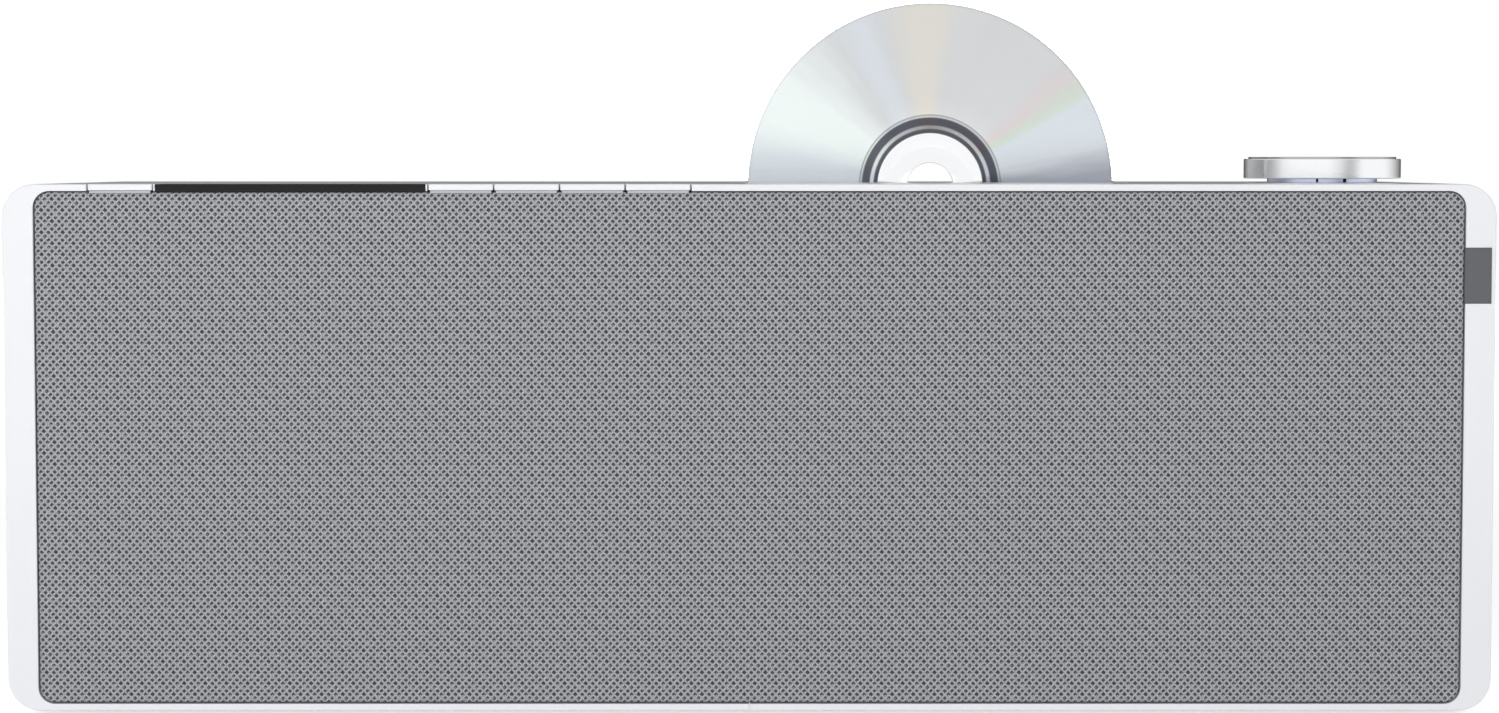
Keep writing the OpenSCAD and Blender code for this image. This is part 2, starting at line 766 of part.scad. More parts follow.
// Lower lip of the knob that hides the collar's edge
module rim_lip() {
    difference() {
        cylinder(r = knob_r, h = recess_h);
        translate([0, 0, -cut]) cylinder(r = collar_r + 0.6, h = recess_h + 2 * cut);
    }
}

module knob_cap() color("white") at_knob() {
    translate([0, 0, knob_lift + knob_h - cap_h]) cylinder(r = knob_r - cap_inset, h = cap_h);
}

// Fixed ring under the knob with two small notches in its front
module knob_collar() color("darkgray") at_knob() {
    difference() {
        cylinder(r = collar_r, h = knob_lift + recess_h - 0.4);
        translate([0, 0, -cut]) cylinder(r = collar_r - collar_w, h = knob_lift + 3 * cut);
        for (a = [-94, -66])
            rotate([0, 0, a]) box([collar_r - 1, -0.7, -cut], [collar_r + cut, 0.7, knob_lift + 3 * cut]);
    }
}

module control_case() color("dimgray") at_knob() {
    difference() {
        union() {
            box([-control_w / 2, -control_w / 2, -wall - control_h], [control_w / 2, control_w / 2, -wall]);
            translate([0, 0, -wall - 0.01]) cylinder(r = bush_r, h = wall + 1.4);
        }
        translate([0, 0, -wall - control_h + 1]) cylinder(r = shaft_r + run_gap, h = control_h + wall + 2);
    }
}

module control_nut() color("silver") at_knob() {
    difference() {
        cylinder(r = bush_r + 2.8, h = 1.1, $fn = 6);
        translate([0, 0, -cut]) cylinder(r = bush_r + run_gap, h = 3);
    }
}

module control_shaft() color("silver") at_knob() {
    translate([0, 0, -wall - control_h + 1.3])
        cylinder(r = shaft_r, h = knob_lift + knob_h - cap_h - 1 + wall + control_h - 1.3);
}

// ---- Disc and slot ----

module disc() color("lightgray") {
    translate([disc_x, 0, z_disc])
        difference() {
            bar_y(disc_r, y_disc_front, y_disc_back);
            bar_y(disc_hole_r, y_disc_front - cut, y_disc_back + cut);
        }
}

module slot_liner() color("gainsboro") {
    translate([disc_x, y_disc, z_top]) {
        difference() {
            union() {
                translate([0, 0, -liner_d])
                    linear_extrude(liner_d) square([slot_w + 2 * liner_rim, liner_y], center = true);
                translate([0, 0, -wall - 1.6])
                    linear_extrude(1.6) square([slot_w + 4 * liner_rim, liner_y + 2 * liner_rim], center = true);
            }
            translate([0, 0, -liner_d - cut])
                linear_extrude(liner_d + 2 * cut) square([slot_w, slot_open], center = true);
        }
    }
}

module slot_felt() color("dimgray") {
    for (s = [0, 1])
        mirror([0, s, 0])
            translate([0, (s == 0 ? y_disc : -y_disc), 0])
                box([disc_x - slot_w / 2 + 0.5, slot_open / 2 - felt_t, z_top - liner_d + 0.5],
                    [disc_x + slot_w / 2 - 0.5, slot_open / 2, z_top - 1]);
}

// ---- Disc mechanism ----

module mech_chassis() color("lightsteelblue") {
    difference() {
        union() {
            // Side plates, bottom plate and the rear plate's frame
            for (x = [mech_left, mech_right - mech_t])
                box([x, y_mech_front, z_mech_low], [x + mech_t, y_mech_back, z_mech_top]);
            box([mech_left, y_mech_front, z_mech_low], [mech_right, y_mech_back, z_mech_low + mech_t]);
            difference() {
                box([mech_left, y_mech_back - mech_t, z_mech_low], [mech_right, y_mech_back, z_mech_top]);
                box([disc_x - 14, y_mech_back - mech_t - cut, z_spindle - 28],
                    [deck_right - 14, y_mech_back + cut, z_spindle + 24]);
            }
            // Guide posts of the deck
            for (x = post_xs, z = post_zs)
                translate([x, 0, z_spindle + z])
                    bar_y(post_r, y_deck - lift_travel - 1, y_mech_back - mech_t / 2);
            // Tabs for the dampers
            for (x = [mech_left - tab_w, mech_right - 0.01], y = tab_ys)
                box([x, y - tab_d / 2, tab_z], [x + tab_w + 0.01, y + tab_d / 2, tab_z + mech_t]);
        }
        for (x = tab_xs, y = tab_ys)
            translate([x, y, tab_z - cut]) cylinder(r = damper_neck_r, h = mech_t + 2 * cut);
        translate([0, y_roller, z_roller]) bar_x(journal_r + run_gap, mech_left - cut, mech_right + cut);
        translate([0, y_loader, z_loader]) bar_x(journal_r + pass_gap, mech_left - cut, mech_left + mech_t + cut);
    }
}

// Rubber spools: the neck sits in the tab, and the upper flange meets the cabinet's post
module mech_dampers() color("black") {
    for (x = tab_xs, y = tab_ys)
        translate([x, y, tab_z]) {
            translate([0, 0, -2]) cylinder(r = damper_r, h = 2);
            translate([0, 0, -0.01]) cylinder(r = damper_neck_r - run_gap, h = mech_t + 0.02);
            translate([0, 0, mech_t]) cylinder(r = damper_r, h = damper_h);
        }
}

puck_back = y_disc_front - 0.5;
puck_t = 3;
puck_stem_r = 4;
bridge_y = puck_back - puck_t - 4;

module clamp_bridge() color("lightsteelblue") {
    difference() {
        union() {
            box([mech_left + mech_t + slip_gap, bridge_y, z_spindle - bridge_h / 2],
                [mech_right - mech_t - slip_gap, bridge_y + mech_t, z_spindle + bridge_h / 2]);
            for (x = [mech_left + mech_t + slip_gap, mech_right - 2 * mech_t - slip_gap])
                box([x, bridge_y, z_spindle - bridge_h / 2],
                    [x + mech_t, y_disc_front - 1, z_spindle + bridge_h / 2]);
        }
        translate([disc_x, 0, z_spindle]) bar_y(puck_stem_r + run_gap, bridge_y - cut, bridge_y + mech_t + cut);
    }
}

module clamp_puck() color("dimgray") {
    translate([disc_x, 0, z_spindle])
        difference() {
            union() {
                bar_y(puck_r, puck_back - puck_t, puck_back);
                bar_y(puck_stem_r, bridge_y - pass_gap - 0.01, puck_back - puck_t + 0.01);
                bar_y(puck_stem_r + 2, bridge_y - pass_gap - 2, bridge_y - pass_gap);
            }
            bar_y(hub_boss_r + 0.6, puck_back - 1.6, puck_back + cut);
        }
}

// ---- Loading drive ----

module roller_shaft() color("silver") {
    translate([0, y_roller, z_roller]) {
        bar_x(journal_r, belt_x - groove_w / 2 - 1, mech_right + 1.5);
        turned_pulley(pulley_r);
    }
}

module motor_pulley() color("silver") {
    translate([0, y_loader, z_loader]) {
        bar_x(1, belt_x - groove_w / 2 - 1, mech_left + mech_t + 10);
        turned_pulley(pinion_r);
    }
}

// Grooved pulley of floor radius r about the X axis, at the belt's plane
module turned_pulley(r) {
    f = r + belt_t + 0.6;
    translate([belt_x, 0, 0])
        turned_x([
            [0, -groove_w / 2 - 0.8], [f, -groove_w / 2 - 0.8], [f, -groove_w / 2], [r, -groove_w / 2],
            [r, groove_w / 2], [f, groove_w / 2], [f, groove_w / 2 + 0.8], [0, groove_w / 2 + 0.8]
        ]);
}

module loading_belt() color("black") {
    translate([belt_x - belt_t / 2, 0, 0])
        rotate([90, 0, 90])
            linear_extrude(belt_t)
                difference() {
                    belt_outline(pass_gap + belt_t);
                    belt_outline(pass_gap);
                }
}

// Outline round both pulleys, a distance off their groove floors
module belt_outline(off) {
    hull() {
        translate([y_roller, z_roller]) circle(r = pulley_r + off);
        translate([y_loader, z_loader]) circle(r = pinion_r + off);
    }
}

module feed_roller() color("black") {
    translate([disc_x, y_roller, z_roller])
        turned_x([
            [journal_r, -roller_l / 2], [roller_r, -roller_l / 2], [roller_r, -roller_l / 2 + 20],
            [roller_r - roller_waist, -8], [roller_r - roller_waist, 8],
            [roller_r, roller_l / 2 - 20], [roller_r, roller_l / 2], [journal_r, roller_l / 2]
        ]);
}

module loading_motor() color("silver") {
    translate([0, y_loader, z_loader])
        difference() {
            bar_x(loader_r, mech_left + mech_t, mech_left + mech_t + 22);
            bar_x(1 + run_gap, mech_left, mech_left + mech_t + 12);
        }
}

// ---- Deck with spindle and pickup ----

module traverse_deck() color("gray") {
    back = y_deck + deck_t;
    difference() {
        union() {
            box([deck_left, y_deck, z_spindle - deck_down], [deck_right, back, z_spindle + deck_up]);
            // Brackets of the guide rods and the lead screw
            for (x = [bracket_left, bracket_right], z = [-rod_gap, rod_gap])
                box([x, back - 0.01, z_spindle + z - 4], [x + bracket_t, y_rods + 4, z_spindle + z + 4]);
            box([bracket_right, back - 0.01, z_spindle - screw_drop - 4],
                [bracket_right + bracket_t, y_rods + 4, z_spindle - screw_drop + 4]);
        }
        // Window for the lens, hole for the spindle, holes for the posts
        box([disc_x + lens_in - 6, y_deck - cut, z_spindle - 9],
            [disc_x + lens_in + sled_travel + 5, back + cut, z_spindle + 9]);
        translate([disc_x, 0, z_spindle]) bar_y(5, y_deck - cut, back + cut);
        for (x = post_xs, z = post_zs)
            translate([x, 0, z_spindle + z]) bar_y(post_r + run_gap, y_deck - cut, back + cut);
        for (z = [-rod_gap, rod_gap])
            translate([0, y_rods, z_spindle + z])
                bar_x(rod_r + run_gap / 2, bracket_left - cut, bracket_right + bracket_t + cut);
        translate([0, y_rods, z_spindle - screw_drop])
            bar_x(rod_r + run_gap, bracket_right - cut, bracket_right + bracket_t + cut);
    }
}

module guide_rods() color("silver") {
    for (z = [-rod_gap, rod_gap])
        translate([0, y_rods, z_spindle + z]) bar_x(rod_r, bracket_left, bracket_right + bracket_t);
}

module spindle_motor() color("silver") {
    translate([disc_x, 0, z_spindle])
        difference() {
            bar_y(motor_r, y_deck + deck_t, y_deck + deck_t + 12);
            bar_y(1 + run_gap, y_deck, y_deck + deck_t + 11);
        }
}

// Turntable with its centring boss and its spindle
module turntable() color("dimgray") {
    translate([disc_x, 0, z_spindle]) {
        turned_y([
            [0, boss_front + 0.1], [hub_boss_r - 1.2, boss_front + 0.1], [hub_boss_r, boss_front + 1.3],
            [hub_boss_r, y_turntable], [turntable_r, y_turntable],
            [turntable_r, y_turntable + turntable_t], [1, y_turntable + turntable_t],
            [1, y_deck + deck_t + 10], [0, y_deck + deck_t + 10]
        ]);
    }
}

module pickup_sled() color("black") {
    x0 = disc_x + lens_in - sled_in;
    x1 = disc_x + lens_in + sled_out;
    difference() {
        box([x0, sled_front, z_spindle - screw_drop - 5], [x1, sled_front + sled_t, z_spindle + rod_gap + 4]);
        for (z = [-rod_gap, rod_gap])
            translate([0, y_rods, z_spindle + z]) bar_x(rod_r + run_gap, x0 - cut, x1 + cut);
        translate([0, y_rods, z_spindle - screw_drop]) bar_x(rod_r + run_gap, x0 - cut, x1 + cut);
    }
}

module pickup_lens() color("lightskyblue") {
    translate([disc_x + lens_in, 0, z_spindle]) bar_y(3.5, y_deck - 1.5, sled_front);
}

module lead_screw() color("silver") {
    translate([0, y_rods, z_spindle - screw_drop])
        bar_x(rod_r, bracket_left - 8, bracket_right + bracket_t);
}

module sled_motor() color("silver") {
    translate([0, y_rods, z_spindle - screw_drop])
        difference() {
            bar_x(y_rods - y_deck - deck_t, bracket_left - 20, bracket_left);
            bar_x(rod_r + run_gap, bracket_left - 9, bracket_left + cut);
        }
}

// ---- Boards and sockets ----

// Main board with the amplifier's finned cooler and two tall capacitors
module main_board() color("seagreen") {
    difference() {
        union() {
            box([main_left, y_main, main_low], [main_left + main_w, y_main + pcb_t, main_low + main_h]);
            box([main_left + 122, y_main - 6, main_low + 50], [main_left + 174, y_main + 0.01, main_low + 90]);
            for (i = [0:8])
                box([main_left + 122 + 6.2 * i, y_main - 24, main_low + 50],
                    [main_left + 124 + 6.2 * i, y_main - 5, main_low + 90]);
            for (x = [128, 146])
                translate([main_left + x, 0, main_low + 30]) bar_y(6, y_main - 22, y_main + 0.01);
        }
        for (p = main_posts)
            translate([p[0], 0, p[1]]) bar_y(1.3, y_main - cut, y_main + pcb_t + cut);
    }
}

module bass_port() color("dimgray") {
    translate([port_x, 0, z_base + port_z])
        difference() {
            union() {
                bar_y(port_r + 2, y_cover_out - port_l, y_cover_out);
                bar_y(port_r + 7, y_cover_in - 2, y_cover_in);
            }
            bar_y(port_r, y_cover_out - port_l - cut, y_cover_out + cut);
        }
}

// Two-pin appliance inlet
module mains_inlet() color("black") {
    translate([inlet_x, y_cover_out, z_sockets]) {
        difference() {
            box([-13, -inlet_d, -8], [13, 0, 8]);
            translate([0, cut, 0])
                rotate([90, 0, 0])
                    linear_extrude(12 + cut) {
                        square([8.6, 9.2], center = true);
                        for (s = [-1, 1]) translate([4.3 * s, 0]) circle(r = 4.6);
                    }
        }
        for (s = [-1, 1])
            translate([4.3 * s, 0, 0]) bar_y(1.15, -12.5, -1.5);
    }
}

module audio_jack() color("black") {
    translate([jack_x, 0, z_sockets])
        difference() {
            union() {
                bar_y(4, y_cover_in - 1, y_cover_out);
                box([-5, y_main + pcb_t, -6], [5, y_cover_in, 6]);
            }
            bar_y(jack_r, y_cover_out - 14, y_cover_out + cut);
        }
}

module network_socket() color("silver") {
    translate([network_x, y_cover_out, z_sockets])
        difference() {
            box([-8, y_main + pcb_t - y_cover_out, -6.8], [8, 0, 6.8]);
            box([-5.9, -12, -4.4], [5.9, cut, 3.6]);
        }
}

cabinet();
rear_cover();
rear_screws();
wall_inserts();
rubber_feet();
grille_frame();
grille_cloth();
fabric_tag();
baffle();
basket_left();
basket_right();
magnet_left();
magnet_right();
suspension_left();
suspension_right();
cone_left();
cone_right();
tweeter_left();
tweeter_right();
speaker_screws();
slot_liner();
slot_felt();
disc();
display_bezel();
display_lens();
display_module();
control_board();
key_power();
key_1();
key_2();
key_3();
key_4();
knob_body();
knob_cap();
knob_collar();
control_case();
control_nut();
control_shaft();
mech_chassis();
mech_dampers();
clamp_bridge();
clamp_puck();
roller_shaft();
feed_roller();
loading_motor();
motor_pulley();
loading_belt();
traverse_deck();
spindle_motor();
turntable();
pickup_sled();
pickup_lens();
guide_rods();
lead_screw();
sled_motor();
main_board();
bass_port();
mains_inlet();
audio_jack();
network_socket();
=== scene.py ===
# %% [markdown]
# # Dressing a slab-shaped disc player
# The CAD frame gives every piece its place. This lesson keeps that frame and works over it, one piece
# and one finish at a time: the wrapped cabinet, the woven grille, the row of keys with its display, the
# aluminium knob, the silver disc in its slot, and the back with its sockets.

import functools
import math

import bmesh
import bpy
import numpy as np
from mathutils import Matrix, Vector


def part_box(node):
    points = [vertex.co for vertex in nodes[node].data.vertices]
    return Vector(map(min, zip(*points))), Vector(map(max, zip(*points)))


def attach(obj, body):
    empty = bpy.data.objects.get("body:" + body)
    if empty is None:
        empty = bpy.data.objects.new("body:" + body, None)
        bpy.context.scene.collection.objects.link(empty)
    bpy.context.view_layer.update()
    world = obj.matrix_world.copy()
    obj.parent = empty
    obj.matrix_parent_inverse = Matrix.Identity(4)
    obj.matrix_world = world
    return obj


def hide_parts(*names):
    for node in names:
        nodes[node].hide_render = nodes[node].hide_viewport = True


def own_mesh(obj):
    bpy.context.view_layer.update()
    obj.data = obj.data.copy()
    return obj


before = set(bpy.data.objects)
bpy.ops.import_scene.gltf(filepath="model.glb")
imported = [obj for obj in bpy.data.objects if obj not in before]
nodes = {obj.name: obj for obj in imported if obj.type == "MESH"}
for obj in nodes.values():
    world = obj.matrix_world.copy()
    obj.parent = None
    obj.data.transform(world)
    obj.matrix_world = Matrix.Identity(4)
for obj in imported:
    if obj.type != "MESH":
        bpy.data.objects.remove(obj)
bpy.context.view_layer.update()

# %% [markdown]
# ## The sizes that the pieces share
# Blender works in metres, and the real object is measured in millimetres, so one factor turns one into
# the other. The planes come from the frame itself where a node has them, so the new pieces can't drift
# away from the CAD.

# %% Shared sizes
MM = 0.001
shell_low, shell_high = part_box("cabinet")
front_y, back_y = shell_low.y, shell_high.y
base_z, top_z = shell_low.z, shell_high.z
side_x = shell_high.x
width, height = 2 * side_x, top_z - base_z
wall = 2.1 * MM
cheek = 9.2 * MM
baffle_y = front_y + 8.5 * MM
cover_out = back_y - 0.5 * MM
cover_in = cover_out - 3 * MM
middle_z = (base_z + top_z) / 2
disc_low, disc_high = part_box("disc")
disc_x, disc_y = (disc_low.x + disc_high.x) / 2, (disc_low.y + disc_high.y) / 2
disc_z = (disc_low.z + disc_high.z) / 2
disc_middle = (disc_x, disc_y, disc_z)
knob_low, knob_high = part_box("knob_body")
knob_x, knob_y = (knob_low.x + knob_high.x) / 2, (knob_low.y + knob_high.y) / 2
knob_axis = (knob_x, knob_y, 0)
foot_places = [(x * MM, y * MM) for x in (-195, 195) for y in (-52, 52)]
print("cabinet", round(width / MM, 1), "x", round(height / MM, 1), "mm, disc at", round(disc_x / MM, 1))

# %% [markdown]
# ## Surfaces from numbers
# Nearly every piece here is one of two surfaces. A loft carries an outline through several places, as
# a rounded rectangle does along the cabinet's depth, and a lathe turns a profile round an axis, as for
# knob, feet and disc. Both are worked out as whole arrays and then handed to Blender at once. Small
# roundings matter more than anything else for how real an edge looks, so outlines and profiles can
# round their own corners.

# %% Outlines and profiles
def rounded_rectangle(wide, high, radius, steps=10):
    """Four quarter circles round centres pulled in by the radius, so every outline of the same
    steps has the same number of points, whatever its size."""
    turn = np.linspace(0, np.pi / 2, steps + 1)[None, :] + np.arange(4)[:, None] * np.pi / 2
    centre_u = np.array([1, -1, -1, 1])[:, None] * (wide / 2 - radius)
    centre_v = np.array([1, 1, -1, -1])[:, None] * (high / 2 - radius)
    return np.stack([centre_u + radius * np.cos(turn), centre_v + radius * np.sin(turn)], -1).reshape(-1, 2)


def regular_outline(radius, sides, count):
    """A polygon of that many sides, as its distance from the middle in each of count directions: the
    inner radius over the cosine of the angle to the nearest flat. Zero sides means a circle."""
    turn = np.linspace(0, 2 * np.pi, count, endpoint=False)
    if sides:
        step = 2 * np.pi / sides
        radius = radius / np.cos((turn + step / 2) % step - step / 2)
    return np.stack([radius * np.cos(turn), radius * np.sin(turn)], -1)


def rounded_corners(points, radii, closed=False, steps=4):
    """Replaces a corner by a quadratic curve between the two points that lie its radius away along
    both edges, so the curve is tangent to both."""
    points = np.asarray(points, float)
    out = []
    for k, (corner, radius) in enumerate(zip(points, radii)):
        inner = closed or 0 < k < len(points) - 1
        if not inner or radius <= 0:
            out.append(corner[None])
            continue
        before, after = points[k - 1] - corner, points[(k + 1) % len(points)] - corner
        start = corner + before / np.linalg.norm(before) * min(radius, np.linalg.norm(before) / 2)
        end = corner + after / np.linalg.norm(after) * min(radius, np.linalg.norm(after) / 2)
        t = np.linspace(0, 1, steps + 1)[:, None]
        out.append((1 - t) ** 2 * start + 2 * t * (1 - t) * corner + t ** 2 * end)
    return np.concatenate(out)


def placed(outline, level, axis, centre=(0, 0)):
    """Puts a flat outline at a level of one axis: its two numbers become the other two axes."""
    u, v = outline[:, 0] + centre[0], outline[:, 1] + centre[1]
    w = np.full_like(u, level)
    return np.stack({"x": (w, u, v), "y": (u, w, v), "z": (u, v, w)}[axis], -1)

# %% Lofts, lathes and blocks
def loft(rings, closed=False, ends=True):
    """Joins each outline to the next with quads: point j of outline i, point j + 1, and the same two
    of outline i + 1. Closed joins the last outline to the first, and ends closes both ends flat."""
    rings = np.asarray(rings, float)
    count, around = rings.shape[:2]
    i = np.arange(count if closed else count - 1)[:, None]
    j = np.arange(around)[None, :]
    nxt = (j + 1) % around
    up = (i + 1) % count
    quads = np.stack([i * around + j, i * around + nxt, up * around + nxt, up * around + j], -1)
    faces = quads.reshape(-1, 4).tolist()
    if ends and not closed:
        faces += [list(range(around))[::-1], list(range((count - 1) * around, count * around))]
    return rings.reshape(-1, 3), faces


def lathe(profile, centre, axis="z", count=96, closed=False):
    """Turns (radius, level) points round an axis: every point becomes a circle of its radius at its
    level. A radius of zero becomes a pole, whose points are merged later."""
    profile = np.asarray(profile, float)
    turn = np.linspace(0, 2 * np.pi, count, endpoint=False)[None, :]
    radius, level = profile[:, :1], profile[:, 1:] + 0 * turn
    u, v = radius * np.cos(turn), radius * np.sin(turn)
    ring = np.stack({"x": (level, u, v), "y": (u, level, v), "z": (u, v, level)}[axis], -1)
    ends = not closed and bool(profile[0, 0] > 0 or profile[-1, 0] > 0)
    return loft(ring + np.asarray(centre, float), closed=closed, ends=ends)


def block(low, high, corner=0.0003, edge=0.0002, axis="z", steps=3):
    """A box with rounded corners and edges: a rounded rectangle that starts small, grows by the edge
    radius along a quarter circle, keeps its size, and shrinks the same way at the other end."""
    low, high = np.asarray(low, float), np.asarray(high, float)
    u, v, w = {"x": (1, 2, 0), "y": (0, 2, 1), "z": (0, 1, 2)}[axis]
    size, centre = high - low, (high + low) / 2
    corner = max(corner, edge * 1.05)
    t = np.linspace(0, np.pi / 2, steps + 1)
    inset = np.concatenate([edge * (1 - np.sin(t)), edge * (1 - np.sin(t))[::-1]])
    level = np.concatenate([low[w] + edge * (1 - np.cos(t)), high[w] - edge * (1 - np.cos(t))[::-1]])
    rings = [placed(rounded_rectangle(size[u] - 2 * d, size[v] - 2 * d, corner - d, 4), at, axis,
                    (centre[u], centre[v])) for d, at in zip(inset, level)]
    return loft(rings)

# %% [markdown]
# ## From arrays to an object
# A finished mesh needs the same care each time: points that coincide are merged, faces are turned
# outwards, and edges that are meant to be crisp are marked, so smooth shading doesn't smear them. A
# Weighted Normal modifier then lets large flat faces stay flat beside their small roundings.

# %% Piece maker
made = {}


def put_faces(name, shapes):
    """One mesh from several (points, faces) shapes, whose faces are counted on from each other."""
    points, faces, start = [], [], 0
    for shape_points, shape_faces in shapes:
        points.append(shape_points)
        faces += [[k + start for k in face] for face in shape_faces]
        start += len(shape_points)
    mesh = bpy.data.meshes.new(name)
    mesh.from_pydata(np.concatenate(points).tolist(), [], faces)
    return mesh


def tidy(mesh, sharp=32):
    """Merges points closer than a thousandth of a millimetre, drops faces without area, turns faces
    outward, and marks edges sharper than the given degrees."""
    work = bmesh.new()
    work.from_mesh(mesh)
    bmesh.ops.remove_doubles(work, verts=work.verts, dist=1e-6)
    bmesh.ops.dissolve_degenerate(work, edges=work.edges, dist=1e-6)
    bmesh.ops.recalc_face_normals(work, faces=work.faces)
    work.to_mesh(mesh)
    work.free()
    mesh.polygons.foreach_set("use_smooth", np.ones(len(mesh.polygons), bool))
    mesh.set_sharp_from_angle(angle=math.radians(sharp))
    return mesh


def piece(name, shapes, body, instead=(), sharp=32, weighted=True):
    """An object at the origin, with its place in its mesh, that rides on a body."""
    mesh = tidy(put_faces(name, shapes), sharp)
    thing = bpy.data.objects.new(name, mesh)
    bpy.context.scene.collection.objects.link(thing)
    if weighted:
        flat = thing.modifiers.new("flat_faces", "WEIGHTED_NORMAL")
        flat.keep_sharp = True
    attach(thing, body)
    if instead:
        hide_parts(*instead)
    made[name] = thing
    print(f"{name}: {len(mesh.vertices)} points, {len(mesh.polygons)} faces")
    return thing

# %% [markdown]
# ## The wrapped cabinet
# On the real object the cabinet is one sleeve bent from sheet and closed by a butt seam underneath.
# It could be a box with a bevel, but the front has a wide cheek at each side and only the sheet's
# edge above and below, and every edge shows a fine rounding. So it is a loft that runs along the
# outside from front to back and returns along the inside: one closed surface. The openings for keys,
# slot, knob, pinhole, feet and seam are then cut from it.

# %% Sleeve surface
def sleeve_rings():
    """Outlines in order: the front edge's rounding, the outer side, the rear edge's rounding, the
    cavity from the rear to the baffle, and the narrower grille opening back to the front."""
    edge, lip, ledge = 0.45 * MM, 0.25 * MM, 0.02 * MM
    outer_r, cavity_r, open_r = 10 * MM, 7.9 * MM, 5 * MM
    turn = np.linspace(0, np.pi / 2, 6)
    inset, step = edge * (1 - np.sin(turn)), edge * (1 - np.cos(turn))
    outer = [(width - 2 * i, height - 2 * i, outer_r - i, front_y + s) for i, s in zip(inset, step)]
    outer += [(width - 2 * i, height - 2 * i, outer_r - i, back_y - s)
              for i, s in zip(inset[::-1], step[::-1])]
    cavity_w, cavity_h = width - 2 * wall, height - 2 * wall
    grow = lip * (1 - np.sin(turn))
    back = [(cavity_w + 2 * g, cavity_h + 2 * g, cavity_r + g, back_y - s * lip / edge)
            for g, s in zip(grow, step)]
    open_w, open_h = width - 2 * cheek, cavity_h - 2 * ledge
    inner = [(cavity_w, cavity_h, cavity_r, baffle_y), (open_w, open_h, open_r, baffle_y)]
    front = [(open_w + 2 * g, open_h + 2 * g, open_r + g, front_y + s * lip / edge)
             for g, s in zip(grow[::-1], step[::-1])]
    return [placed(rounded_rectangle(w, h, r, 12), y, "y", (0, middle_z))
            for w, h, r, y in outer + back + inner + front]


def tube(centre, outer, inner, low, high, axis="z", count=32):
    """A short pipe: its profile runs up the outside and down the inside."""
    profile = [(outer, low), (outer, high), (inner, high), (inner, low)]
    return lathe(profile, centre, axis, count, closed=True)


def post(x, y, radius, foot, count):
    """A round post that hangs from inside the roof and ends at its foot."""
    root = top_z - wall / 2
    return lathe([(0, foot), (radius, foot), (radius, root), (0, root)], (x * MM, y * MM, 0), count=count)


screw_columns, screw_in = (-208.9, -71, 71, 208.9), wall + 4 * MM
cover_screws = [(x * MM, z) for x in screw_columns for z in (base_z + screw_in, top_z - screw_in)]
boss_r, pilot_r, boss_depth = 5 * MM, 1.5 * MM, 12 * MM
bosses = [tube((x, 0, z), boss_r, pilot_r, cover_in - boss_depth, cover_in, "y") for x, z in cover_screws]
damper_top, board_top = top_z - 9.1 * MM, top_z - 10 * MM
damper_posts = [post(x, y, 4 * MM, damper_top, 32) for x in (-14, 132) for y in (8, 42)]
board_posts = [post(x, -51, 2.5 * MM, board_top, 24) for x in (-189.5, -86.9, -27.5)]
cabinet = piece("cabinet_sleeve", [loft(sleeve_rings(), closed=True)], "cabinet",
                ["cabinet"], sharp=40)

# %% Cuts in the sleeve
row_start, row_end = -199.4 * MM, -17.6 * MM


def cut(target, shapes):
    """Takes shapes away with one exact Boolean, and keeps the result as the target's own mesh."""
    tool = bpy.data.objects.new("cutter", tidy(put_faces("cutter", shapes)))
    bpy.context.scene.collection.objects.link(tool)
    target.modifiers.clear()
    less = target.modifiers.new("cut", "BOOLEAN")
    less.operation, less.object, less.solver = "DIFFERENCE", tool, "EXACT"
    bpy.context.view_layer.update()
    graph = bpy.context.evaluated_depsgraph_get()
    result = bpy.data.meshes.new_from_object(target.evaluated_get(graph))
    target.modifiers.clear()
    target.data = result
    bpy.data.objects.remove(tool)


def box_shape(low, high):
    """Eight corners as two plain square outlines, one above the other."""
    (x0, y0, z0), (x1, y1, z1) = low, high
    square = np.array([(x0, y0), (x1, y0), (x1, y1), (x0, y1)])
    return loft([placed(square, z0, "z"), placed(square, z1, "z")])


over = 1 * MM
seam_half, row_gap, row_depth = 0.15 * MM, 0.2 * MM, 15.4 * MM
slot_half_w, slot_half_d = 65.1 * MM, 4.85 * MM
pinhole_x, pinhole_y = 133.3 * MM, front_y + 1.2 * MM
cuts = [
    box_shape((-seam_half, front_y - over, base_z - over), (seam_half, back_y + over, base_z + wall + over)),
    box_shape((row_start - row_gap, front_y - over, top_z - wall - over),
              (row_end + row_gap, front_y + row_depth, top_z + over)),
    box_shape((disc_x - slot_half_w, disc_y - slot_half_d, top_z - wall - over),
              (disc_x + slot_half_w, disc_y + slot_half_d, top_z + over)),
]
holes = [(knob_x, knob_y, 4.7, top_z), (pinhole_x, pinhole_y, 0.5, top_z)]
holes += [(x, y, 3, base_z + wall) for x, y in foot_places]
cuts += [lathe([(0, z - wall - over), (r * MM, z - wall - over), (r * MM, z + over), (0, z + over)],
               (x, y, 0), count=32) for x, y, r, z in holes]
cut(cabinet, cuts)


def soften(thing, wide, limit=50):
    """Breaks the edges that a cut left sharp, and lets big faces keep their own direction."""
    broken = thing.modifiers.new("broken_edges", "BEVEL")
    broken.width, broken.segments = wide, 2
    broken.limit_method, broken.angle_limit = "ANGLE", math.radians(limit)
    broken.use_clamp_overlap, broken.harden_normals = False, False
    flat = thing.modifiers.new("flat_faces", "WEIGHTED_NORMAL")
    flat.keep_sharp = True


tidy(cabinet.data, sharp=40)
soften(cabinet, 0.12 * MM, 60)
piece("inside_posts", bosses + damper_posts + board_posts, "cabinet", ["cabinet"])
print("sleeve after the cuts:", len(cabinet.data.polygons), "faces")

